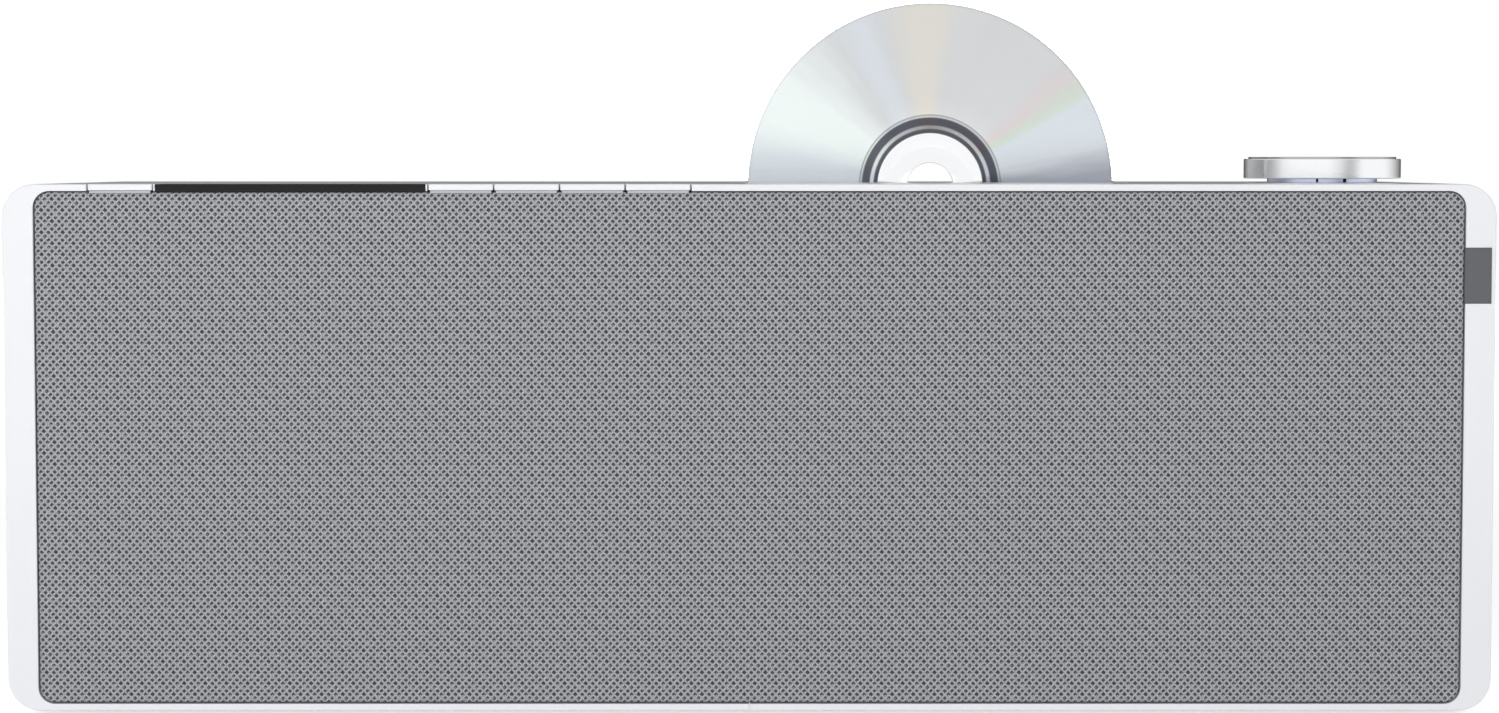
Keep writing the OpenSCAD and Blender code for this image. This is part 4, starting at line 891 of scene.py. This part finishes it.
# %% Material maker
def finish(name, colour, rough=0.5, **sockets):
    """A material with a Principled shader whose even values sit on its own sockets."""
    material = bpy.data.materials.new(name)
    material.use_nodes = True
    shader = material.node_tree.nodes["Principled BSDF"]
    shader.inputs["Base Color"].default_value = (*colour, 1)
    shader.inputs["Roughness"].default_value = rough
    for key, value in sockets.items():
        shader.inputs[key.replace("_", " ")].default_value = value
    return material, material.node_tree, shader


def use_group(tree, shared, values, shader):
    """Places a shared group and links its colour, roughness and normal to the shader."""
    given = add(tree, "ShaderNodeGroup", values, node_tree=shared).node.outputs
    for made_by, taken_by in (("Colour", "Base Color"), ("Roughness", "Roughness"), ("Normal", "Normal")):
        tree.links.new(given[made_by], shader.inputs[taken_by])


def grained(name, colour, rough, size=0.3, spread=0.05, rough_spread=0.08, bump=0.15, **sockets):
    """Paint, plastic, rubber, felt, paper or blasted metal: the fine grain at its own size, in mm."""
    material, tree, shader = finish(name, colour, rough, **sockets)
    use_group(tree, grain_tree, {"Vector": place_in_object(tree), "Colour": (*colour, 1),
                                 "Grain Size": size * MM, "Colour Spread": spread, "Roughness": rough,
                                 "Roughness Spread": rough_spread, "Bump": bump}, shader)
    return material


def drawn(name, colour, rough, stretch, spread=0.12, rough_spread=0.15, bump=0.12, **sockets):
    """Rolled or drawn metal: noise squeezed across its lines and stretched along them, per metre."""
    material, tree, shader = finish(name, colour, rough, Metallic=1.0, **sockets)
    where = add(tree, "ShaderNodeMapping", {0: place_in_object(tree), 3: stretch})
    use_group(tree, line_tree, {"Vector": where, "Colour": (*colour, 1), "Colour Spread": spread,
                                "Roughness": rough, "Roughness Spread": rough_spread, "Bump": bump}, shader)
    return material

# %% Plain finishes
# colour, roughness, size of the grain in mm, spread of colour, spread of roughness, bump
sleeve_paint = grained("sleeve_paint", (0.82, 0.828, 0.848), 0.23, 0.25, 0.03, 0.05, 0.05)
key_plastic = grained("key_plastic", (0.83, 0.84, 0.865), 0.4, 0.2, 0.03, 0.06, 0.05)
cover_plastic = grained("cover_plastic", (0.66, 0.67, 0.685), 0.55, 0.45, 0.06, 0.1, 0.35)
# the seal's grey is painted shade: darker than the keys, for the shadow that lies under them
seal_foam_painted_shade = grained("seal_foam_painted_shade", (0.47, 0.475, 0.49), 0.6, 0.3, 0.1, 0.1, 0.2)
dark_plastic = grained("dark_plastic", (0.018, 0.018, 0.02), 0.5, 0.4, 0.2, 0.1, 0.25)
socket_black = grained("socket_black", (0.011, 0.011, 0.012), 0.42, 0.3, 0.2, 0.1, 0.15)
foot_rubber = grained("foot_rubber", (0.02, 0.02, 0.021), 0.8, 0.5, 0.25, 0.1, 0.4)
black_rubber = grained("black_rubber", (0.012, 0.012, 0.013), 0.65, 0.3, 0.25, 0.12, 0.25)
felt_pile = grained("felt_pile", (0.022, 0.022, 0.024), 0.95, 0.12, 0.9, 0.05, 0.9, Sheen_Weight=0.4,
                    Sheen_Roughness=0.5)
baffle_board = grained("baffle_board", (0.02, 0.018, 0.018), 0.75, 0.7, 0.5, 0.1, 0.5)
basket_paint = grained("basket_paint", (0.014, 0.014, 0.015), 0.45, 0.5, 0.2, 0.1, 0.3)
ferrite = grained("ferrite", (0.055, 0.056, 0.06), 0.6, 0.35, 0.3, 0.15, 0.4)
cone_paper = grained("cone_paper", (0.03, 0.03, 0.033), 0.85, 0.9, 0.5, 0.1, 0.6)
display_dark = grained("display_dark", (0.01, 0.012, 0.012), 0.2, 0.4, 0.2, 0.05, 0.05)
lens_black = grained("lens_black", (0.007, 0.007, 0.008), 0.12, 0.3, 0.1, 0.03, 0.01,
                     Specular_IOR_Level=0.25)
blasted = dict(Metallic=1.0)
knob_aluminium = grained("knob_aluminium", (0.93, 0.935, 0.945), 0.15, 0.12, 0.03, 0.05, 0.04, **blasted)
cap_aluminium = grained("cap_aluminium", (0.83, 0.84, 0.85), 0.24, 0.12, 0.04, 0.08, 0.1, **blasted)
cap_edge = grained("cap_edge", (0.46, 0.475, 0.485), 0.15, 0.12, 0.1, 0.1, 0.1, **blasted)
collar_steel = grained("collar_steel", (0.69, 0.75, 0.95), 0.2, 0.2, 0.08, 0.1, 0.08, **blasted)
screw_steel = grained("screw_steel", (0.06, 0.06, 0.065), 0.35, 0.2, 0.2, 0.15, 0.15, **blasted)
insert_brass = grained("insert_brass", (0.72, 0.5, 0.2), 0.28, 0.3, 0.12, 0.15, 0.12, **blasted)
socket_metal = grained("socket_metal", (0.6, 0.6, 0.61), 0.25, 0.3, 0.1, 0.15, 0.1, **blasted)
bright_steel = drawn("bright_steel", (0.66, 0.66, 0.68), 0.25, (60, 2500, 2500))
chassis_zinc = drawn("chassis_zinc", (0.56, 0.58, 0.6), 0.38, (900, 900, 40), 0.2)
deck_zinc = drawn("deck_zinc", (0.5, 0.51, 0.53), 0.36, (60, 900, 900), 0.2)
print("finishes so far:", len(bpy.data.materials))

# %% Cloth finishes
def woven(name, across, up, hole, thread, bump, uneven):
    """The net on the cloth's own flat place: threads over dark holes, each thread's painted highlight and
    shade, a fuzz so that no two threads match, and a bump that follows the threads."""
    material, tree, shader = finish(name, thread, 0.85, Sheen_Weight=0.1, Sheen_Roughness=0.5,
                                    Specular_IOR_Level=0.2)
    flat = add(tree, "ShaderNodeUVMap", uv_map="flat_cut")
    weave = add(tree, "ShaderNodeGroup", {"Flat": flat, "Across": across, "Up": up},
                node_tree=net_tree).node.outputs
    fuzz = add(tree, "ShaderNodeTexNoise", {"Vector": flat, "Scale": 1.4 / across, "Detail": 2.0})
    fuzzy = calc(tree, "MULTIPLY_ADD", fuzz, uneven, 1 - uneven / 2)
    lit = times(tree, thread, grey(tree, calc(tree, "MULTIPLY", fuzzy, weave["Light"])))
    tree.links.new(blend_colours(tree, weave["Thread"], (*hole, 1), lit), shader.inputs["Base Color"])
    height = calc(tree, "MULTIPLY_ADD", fuzz, 0.3, weave["Height"])
    tree.links.new(bumped(tree, height, bump, across * 0.15), shader.inputs["Normal"])
    return material


grille_weave = woven("grille_weave", 1.069 * MM, 1.1125 * MM, (0.052, 0.054, 0.060),
                     (0.385, 0.395, 0.415), 0.2, 0.8)
strip_weave = woven("strip_weave", 0.22 * MM, 0.23 * MM, (0.107, 0.109, 0.117),
                    (0.142, 0.146, 0.157), 0.3, 0.7)
print("weaves:", grille_weave.name, strip_weave.name)

# %% [markdown]
# ## The disc's metal
# The metal layer sits under clear plastic, so it is a metal with a glossy coat. Its fine track turns
# white light into fans of pale colour that run out from the middle; they are painted by the angle
# round the disc's own centre, and the rings near the hub by the distance from it. A stretch of the
# gloss across the track comes from anisotropy round the same axis.

# %% Disc finishes
tints = {"bright": (0.84, 0.90, 0.88), "cool": (0.69, 0.74, 0.78), "neutral": (0.655, 0.665, 0.675),
         "straw": (0.71, 0.69, 0.63), "leaf": (0.63, 0.71, 0.63), "rose": (0.70, 0.635, 0.635),
         "dusk": (0.40, 0.42, 0.48), "shade": (0.53, 0.56, 0.61), "haze": (0.67, 0.71, 0.75)}
# degrees round the disc, from its right side upwards, and the tint there
fans = [(0, "dusk"), (4, "dusk"), (8, "shade"), (13, "haze"), (20, "cool"), (28, "cool"), (32, "leaf"),
        (37, "rose"), (43, "neutral"), (62, "neutral"), (80, "neutral"), (88, "straw"), (97, "straw"),
        (106, "neutral"), (116, "haze"), (124, "neutral"), (143, "bright"), (158, "bright"), (170, "cool"),
        (178, "haze"), (205, "cool"), (232, "rose"), (262, "straw"), (285, "neutral"), (318, "cool"),
        (345, "haze")]
# distance from the middle in mm, and the shade there; the fall from 58.7 mm to the rim is painted shade at
# the disc's edge
ring_marks = [(0, 1.0), (17.15, 1.0), (17.3, 0.11), (18.35, 0.11), (18.6, 0.95), (19.6, 0.95), (19.85, 0.12),
              (22.2, 0.12), (22.4, 0.85), (22.75, 0.85), (22.95, 0.5), (23.15, 0.5), (23.35, 1.0),
              (58.7, 1.0), (59.5, 0.82), (disc_radius, 0.8)]


def ring_colour(value):
    """Light rings are grey, and the dark ones lean a little to violet."""
    return (value, value * 0.97, value * 1.2) if value < 0.2 else (value, value, value)


def disc_metal():
    """Fan colour by angle, times the ring shade by distance, times fine streaks, with a painted reflection
    that darkens the bright ring towards its top.
    """
    material, tree, shader = finish("disc_metal", (0.66, 0.68, 0.69), 0.2, Metallic=0.9, Coat_Weight=0.6,
                                    Coat_Roughness=0.03, Anisotropic=0.3)
    here = add(tree, "ShaderNodeMapping", {0: place_in_object(tree), 1: (-disc_x, -disc_y, -disc_z)})
    x, _, z = add(tree, "ShaderNodeSeparateXYZ", {0: here}).node.outputs[:3]
    angle = calc(tree, "DIVIDE", calc(tree, "ARCTAN2", z, x), 2 * math.pi)
    distance = apart(tree, x, z)
    share = calc(tree, "DIVIDE", distance, disc_radius * MM)
    along_fans = add(tree, "ShaderNodeCombineXYZ", {0: calc(tree, "MULTIPLY", angle, 40.0),
                                                    1: calc(tree, "MULTIPLY", share, 1.5)})
    streaks = add(tree, "ShaderNodeTexNoise", {"Vector": along_fans, "Scale": 1.0, "Detail": 3.0})
    wander = calc(tree, "MULTIPLY_ADD", calc(tree, "SUBTRACT", streaks, 0.5), 0.03,
                  calc(tree, "ADD", angle, 0.5))
    stops = sorted(((a / 360 + 0.5) % 1, tints[name]) for a, name in fans)
    stops = [(0.0, tints["haze"])] + [s for s in stops if 0 < s[0] < 1] + [(1.0, tints["haze"])]
    fan_colour = ramp(tree, wander, stops)
    ring_shade = ramp(tree, share, [(r / disc_radius, ring_colour(value)) for r, value in ring_marks])
    # painted reflection: the bright ring between 18.4 and 19.9 mm is darkened towards its top and kept light
    # at its sides
    towards_side = calc(tree, "DIVIDE", calc(tree, "ABSOLUTE", x), distance)
    in_ring = calc(tree, "MULTIPLY", calc(tree, "GREATER_THAN", share, 18.4 / disc_radius),
                   calc(tree, "LESS_THAN", share, 19.9 / disc_radius))
    ring_reflection_dimming = calc(tree, "MULTIPLY", in_ring, calc(tree, "MULTIPLY_ADD", towards_side, -0.55, 0.55))
    level = calc(tree, "MULTIPLY", calc(tree, "MULTIPLY_ADD", streaks, 0.06, 0.97),
                 calc(tree, "SUBTRACT", 1.0, ring_reflection_dimming))
    colour = times(tree, times(tree, fan_colour, ring_shade), grey(tree, level))
    tree.links.new(colour, shader.inputs["Base Color"])
    around = tree.nodes.new("ShaderNodeTangent")
    around.direction_type, around.axis = "RADIAL", "Y"
    tree.links.new(around.outputs[0], shader.inputs["Tangent"])
    return material


disc_silver = disc_metal()
clear = dict(Transmission_Weight=1.0, IOR=1.58)
disc_clear = grained("disc_clear", (0.935, 0.94, 0.95), 0.03, 0.5, 0.01, 0.02, 0.0, **clear)
# the grey of the clear rim and of the hole's edge is painted shade for the dark outline that a clear edge
# shows
disc_rim_shade = grained("disc_rim_shade", (0.68, 0.69, 0.71), 0.05, 0.5, 0.02, 0.02, 0.0, **clear)
hole_rim_shade = grained("hole_rim_shade", (0.5, 0.51, 0.52), 0.05, 0.5, 0.02, 0.02, 0.0, **clear)
lens_glass = grained("lens_glass", (0.7, 0.8, 0.95), 0.03, 0.3, 0.02, 0.02, 0.0, Transmission_Weight=0.7,
                     IOR=1.5)
print("fans:", len(fans), "rings:", len(ring_marks))

# %% Circuit boards
def lines_across(tree, place, pitch):
    """The size of a sine along one axis, which is low on each line and high between lines."""
    return calc(tree, "ABSOLUTE", calc(tree, "SINE", calc(tree, "MULTIPLY", place, 2 * math.pi / pitch)))


def circuit_board():
    """Solder mask with copper tracks below it: a grid of straight runs, broken by noise, over green."""
    material, tree, shader = finish("board_green", (0.012, 0.09, 0.045), 0.35, Coat_Weight=0.3)
    here = place_in_object(tree)
    x, _, z = add(tree, "ShaderNodeSeparateXYZ", {0: here}).node.outputs[:3]
    along_z, along_x = lines_across(tree, x, 4 * MM), lines_across(tree, z, 5 * MM)
    pick = add(tree, "ShaderNodeTexNoise", {"Vector": here, "Scale": 90.0, "Detail": 0.0})
    which = calc(tree, "GREATER_THAN", pick, 0.5)
    run = calc(tree, "ADD", calc(tree, "MULTIPLY", along_z, which),
               calc(tree, "MULTIPLY", along_x, calc(tree, "SUBTRACT", 1.0, which)))
    track = add(tree, "ShaderNodeMapRange", {0: run, 1: 0.18, 2: 0.3, 3: 1.0, 4: 0.0})
    colour = blend_colours(tree, track, (0.010, 0.075, 0.038, 1), (0.022, 0.15, 0.07, 1))
    tree.links.new(colour, shader.inputs["Base Color"])
    tree.links.new(bumped(tree, track, 0.3, 0.05 * MM), shader.inputs["Normal"])
    return material


board_green = circuit_board()

# %% Dress the pieces
def dress(thing, *materials):
    """Gives a piece its materials, in slot order."""
    thing.data.materials.clear()
    for material in materials:
        thing.data.materials.append(material)


wear = {
    "cabinet_sleeve": sleeve_paint, "inside_posts": sleeve_paint, "woven_grille": grille_weave,
    "cheek_strip": strip_weave, "display_glass": lens_black, "knob_shell": knob_aluminium,
    "slot_frame": key_plastic, "felt_lips": felt_pile, "rubber_pads": foot_rubber,
    "cover_screws": screw_steel, "threaded_inserts": insert_brass, "back_plate": cover_plastic,
    "mains_socket": socket_black, "network_shell": socket_metal, "jack_body": socket_black,
    "collar_ring": collar_steel, "collar_notch_shades": black_rubber, "display_rim": key_plastic,
    "flared_port": dark_plastic, "mains_pins": socket_metal, "network_contacts": insert_brass,
    "jack_ring": socket_metal,
}
wear.update({f"{node}_cap": key_plastic for node in key_nodes})
wear.update({f"{body}_seal": seal_foam_painted_shade for body in key_bodies})
for name, material in wear.items():
    dress(made[name], material)


def by_distance(thing, centre, axis, limits):
    """Picks a material slot for each face by its distance from an axis."""
    mesh = thing.data
    mid = np.zeros(len(mesh.polygons) * 3)
    mesh.polygons.foreach_get("center", mid)
    mid = mid.reshape(-1, 3) - np.asarray(centre)
    keep = [k for k in range(3) if k != "xyz".index(axis)]
    away = np.linalg.norm(mid[:, keep], axis=1)
    slot_of = np.zeros(len(away), np.int32)
    for low, high, number in limits:
        slot_of[(away >= low) & (away < high)] = number
    mesh.polygons.foreach_set("material_index", slot_of)


dress(disc, disc_clear, disc_silver, disc_rim_shade, hole_rim_shade)
by_distance(disc, disc_middle, "y", [(0, 7.72 * MM, 3), (17.1 * MM, 59.5 * MM, 1), (59.5 * MM, 61 * MM, 2)])
dress(knob_top, cap_aluminium, cap_edge)
by_distance(knob_top, knob_axis, "z", [(23.6 * MM, 30 * MM, 1)])

node_finish = {
    "grille_frame": dark_plastic, "baffle": baffle_board, "display_module": display_dark,
    "control_board": board_green, "main_board": board_green, "control_case": dark_plastic,
    "control_nut": bright_steel, "control_shaft": bright_steel, "mech_chassis": chassis_zinc,
    "mech_dampers": black_rubber, "clamp_bridge": chassis_zinc, "clamp_puck": dark_plastic,
    "roller_shaft": bright_steel, "feed_roller": black_rubber, "loading_motor": bright_steel,
    "motor_pulley": bright_steel, "loading_belt": black_rubber, "traverse_deck": deck_zinc,
    "spindle_motor": bright_steel, "turntable": dark_plastic, "pickup_sled": dark_plastic,
    "pickup_lens": lens_glass, "guide_rods": bright_steel, "lead_screw": bright_steel,
    "sled_motor": bright_steel, "speaker_screws": screw_steel,
}
for side in ("left", "right"):
    node_finish.update({f"basket_{side}": basket_paint, f"magnet_{side}": ferrite,
                        f"cone_{side}": cone_paper, f"suspension_{side}": black_rubber,
                        f"tweeter_{side}": dark_plastic})
for node, material in node_finish.items():
    for holder in nodes[node].material_slots:
        holder.material = material
print("dressed", len(made), "pieces and", len(node_finish), "CAD nodes")

# %% [markdown]
# ## Camera
# The photograph was taken from the front, a few millimetres above the top, with a long lens. Its
# place was worked out from the picture: the strip of top face in view gives the height, the taper of
# the sides gives the distance and the tilt.

# %% Camera
lens_mm, camera_at, tilt = 80.21, (0, -1.078, 0.1677), 3.325
eye = bpy.data.cameras.new("photo_view")
eye.lens, eye.sensor_width, eye.clip_start = lens_mm, 36, 0.01
camera = bpy.data.objects.new("photo_view", eye)
camera.location = camera_at
camera.rotation_euler = (math.radians(90 - tilt), 0, 0)
bpy.context.scene.collection.objects.link(camera)
bpy.context.scene.camera = camera
print("camera", lens_mm, "mm, tilt", tilt)

# %% [markdown]
# ## Lamps
# Two broad soft lamps stand behind the camera: the stronger one to the left, the weaker one to the
# right, so the left cheek is a little lighter than the right, as in the photograph. They stand low,
# so the top face, seen almost edge on, stays grey. A weak lamp above keeps the top and back readable
# from other sides. Three flat strips stand near the floor, one at each end and one behind: they are
# lower than the top face, so they light the two ends and the rear cover and nothing that the
# photograph shows. Gloss doesn't show the lamps themselves but the room, described next.

# %% Lamps
def lamp(name, at, aim, wide, tall, watts):
    """A soft rectangular lamp that looks at a point. Neither the camera nor gloss sees it."""
    light = bpy.data.lights.new(name, "AREA")
    light.shape, light.size, light.size_y, light.energy = "RECTANGLE", wide, tall, watts
    thing = bpy.data.objects.new(name, light)
    x, y, z = np.array(aim, float) - np.array(at, float)
    thing.location = at
    thing.rotation_euler = (math.atan2(math.hypot(x, y), -z), 0, math.atan2(y, x) - math.pi / 2)
    thing.visible_glossy = thing.visible_camera = False
    bpy.context.scene.collection.objects.link(thing)
    print("lamp", name, watts, "W")


middle = (0, 0, 0.1)
lamp("left_window", (-0.45, -1.4, 0.5), middle, 0.8, 0.8, 11.2)
lamp("right_fill", (0.8, -1.6, 0.45), middle, 0.8, 0.8, 6.0)
lamp("overhead", (0, 0.3, 2.4), middle, 1.8, 1.8, 1)
strip_z, strip_tall = 0.078, 0.14
lamp("left_low", (-1.4, 0.1, strip_z), (0, 0.1, strip_z), 1.0, strip_tall, 3.4)
lamp("right_low", (1.4, 0.1, strip_z), (0, 0.1, strip_z), 1.0, strip_tall, 3.2)
lamp("rear_low", (0, 1.5, strip_z), (0, 0, strip_z), 1.6, strip_tall, 6.5)

# %% [markdown]
# ## Surroundings
# The background is plain white: the world shows it to the camera and through clear plastic. For
# reflections the same world is a soft panorama of the studio, because a turned metal knob shows its
# room: bright paper in front and to the right with a darker gap between, half shade to the left, and
# a dark wall behind, which the top face reflects at its flat angle, under a pale ceiling. Diffuse
# light sees an even, weaker sky.

# %% World
world = bpy.data.worlds.new("studio")
world.use_nodes = True
bpy.context.scene.world = world
room = world.node_tree
room.nodes.clear()


def seen_rays(tree):
    """1 for rays from the camera, from gloss and through clear plastic, 0 for diffuse light."""
    path = add(tree, "ShaderNodeLightPath").node.outputs
    return calc(tree, "MAXIMUM", calc(tree, "MAXIMUM", path["Is Camera Ray"], path["Is Glossy Ray"]),
                path["Is Transmission Ray"]), path


seen, path = seen_rays(room)
heading = add(room, "ShaderNodeSeparateXYZ", {0: add(room, "ShaderNodeTexCoord")}).node.outputs
turn = calc(room, "ARCTAN2", heading[0], calc(room, "MULTIPLY", heading[1], -1.0))
turn = calc(room, "MULTIPLY_ADD", turn, 1 / (2 * math.pi), 0.5)
# degrees from the front, minus to the left, and how light the room is there
panorama = [(-180, 0.06), (-165, 0.16), (-145, 0.45), (-112, 0.32), (-96, 0.36), (-84, 0.55), (-69, 0.95),
            (-58, 1.02), (0, 1.0), (16, 0.8), (31, 0.43), (38, 0.52), (50, 0.93), (58, 0.97), (96, 0.96),
            (110, 0.76), (128, 0.45), (150, 0.12), (180, 0.06)]
around = ramp(room, turn, [(a / 360 + 0.5, (v, v * 1.005, v * 1.015)) for a, v in panorama])
ceiling = add(room, "ShaderNodeMapRange", {0: heading[2], 1: 0.24, 2: 0.46, 3: 0.0, 4: 1.0})
around = blend_colours(room, ceiling, around, (0.84, 0.845, 0.855, 1))
only_gloss = calc(room, "SUBTRACT", path["Is Glossy Ray"], path["Is Transmission Ray"], clamp=True)
backdrop = blend_colours(room, only_gloss, (1, 1, 1, 1), around)
sky = add(room, "ShaderNodeBackground", {"Color": (0.98, 0.99, 1.0, 1), "Strength": 0.31})
paper = add(room, "ShaderNodeBackground", {"Color": backdrop, "Strength": 1.0})
both = add(room, "ShaderNodeMixShader", {0: seen, 1: sky, 2: paper})
add(room, "ShaderNodeOutputWorld", {0: both}, out=slice(0))
print("panorama stops:", len(panorama))

# %% [markdown]
# ## Floor
# A wide pale disc. To the camera and in reflections it adds a little light of its own, enough that
# the unshaded floor is as white as the background and only the object's shadow shows on it. The glow
# grows with the distance from the object, so no horizon shows where the floor ends.

# %% Floor
floor_radius, floor_sides = 4, 96
floor_shape = (placed(regular_outline(floor_radius, 0, floor_sides), 0, "z"), [list(range(floor_sides))])
floor = bpy.data.objects.new("floor", put_faces("floor", [floor_shape]))
bpy.context.scene.collection.objects.link(floor)
floor.location.z = -0.05 * MM
pale = bpy.data.materials.new("pale_floor")
pale.use_nodes = True
ground = pale.node_tree
ground.nodes.clear()
seen, _ = seen_rays(ground)
speckle = add(ground, "ShaderNodeTexNoise", {"Vector": place_in_object(ground), "Scale": 60.0})
tone = ramp(ground, speckle, [(0.3, (0.84, 0.84, 0.845)), (0.7, (0.87, 0.87, 0.875))])
paper = add(ground, "ShaderNodeBsdfDiffuse", {"Color": tone})
away = add(ground, "ShaderNodeVectorMath", {0: place_in_object(ground)}, operation="LENGTH", out=1)
fade = add(ground, "ShaderNodeMapRange", {0: away, 1: 0.7, 2: 2.2, 3: 0.6, 4: 1.0})
glow = add(ground, "ShaderNodeEmission", {"Strength": calc(ground, "MULTIPLY", seen, fade)})
add(ground, "ShaderNodeOutputMaterial", {0: add(ground, "ShaderNodeAddShader", {0: paper, 1: glow})},
    out=slice(0))
floor.data.materials.append(pale)
bpy.context.scene.view_settings.view_transform = "Standard"
print("floor radius", floor_radius, "m")
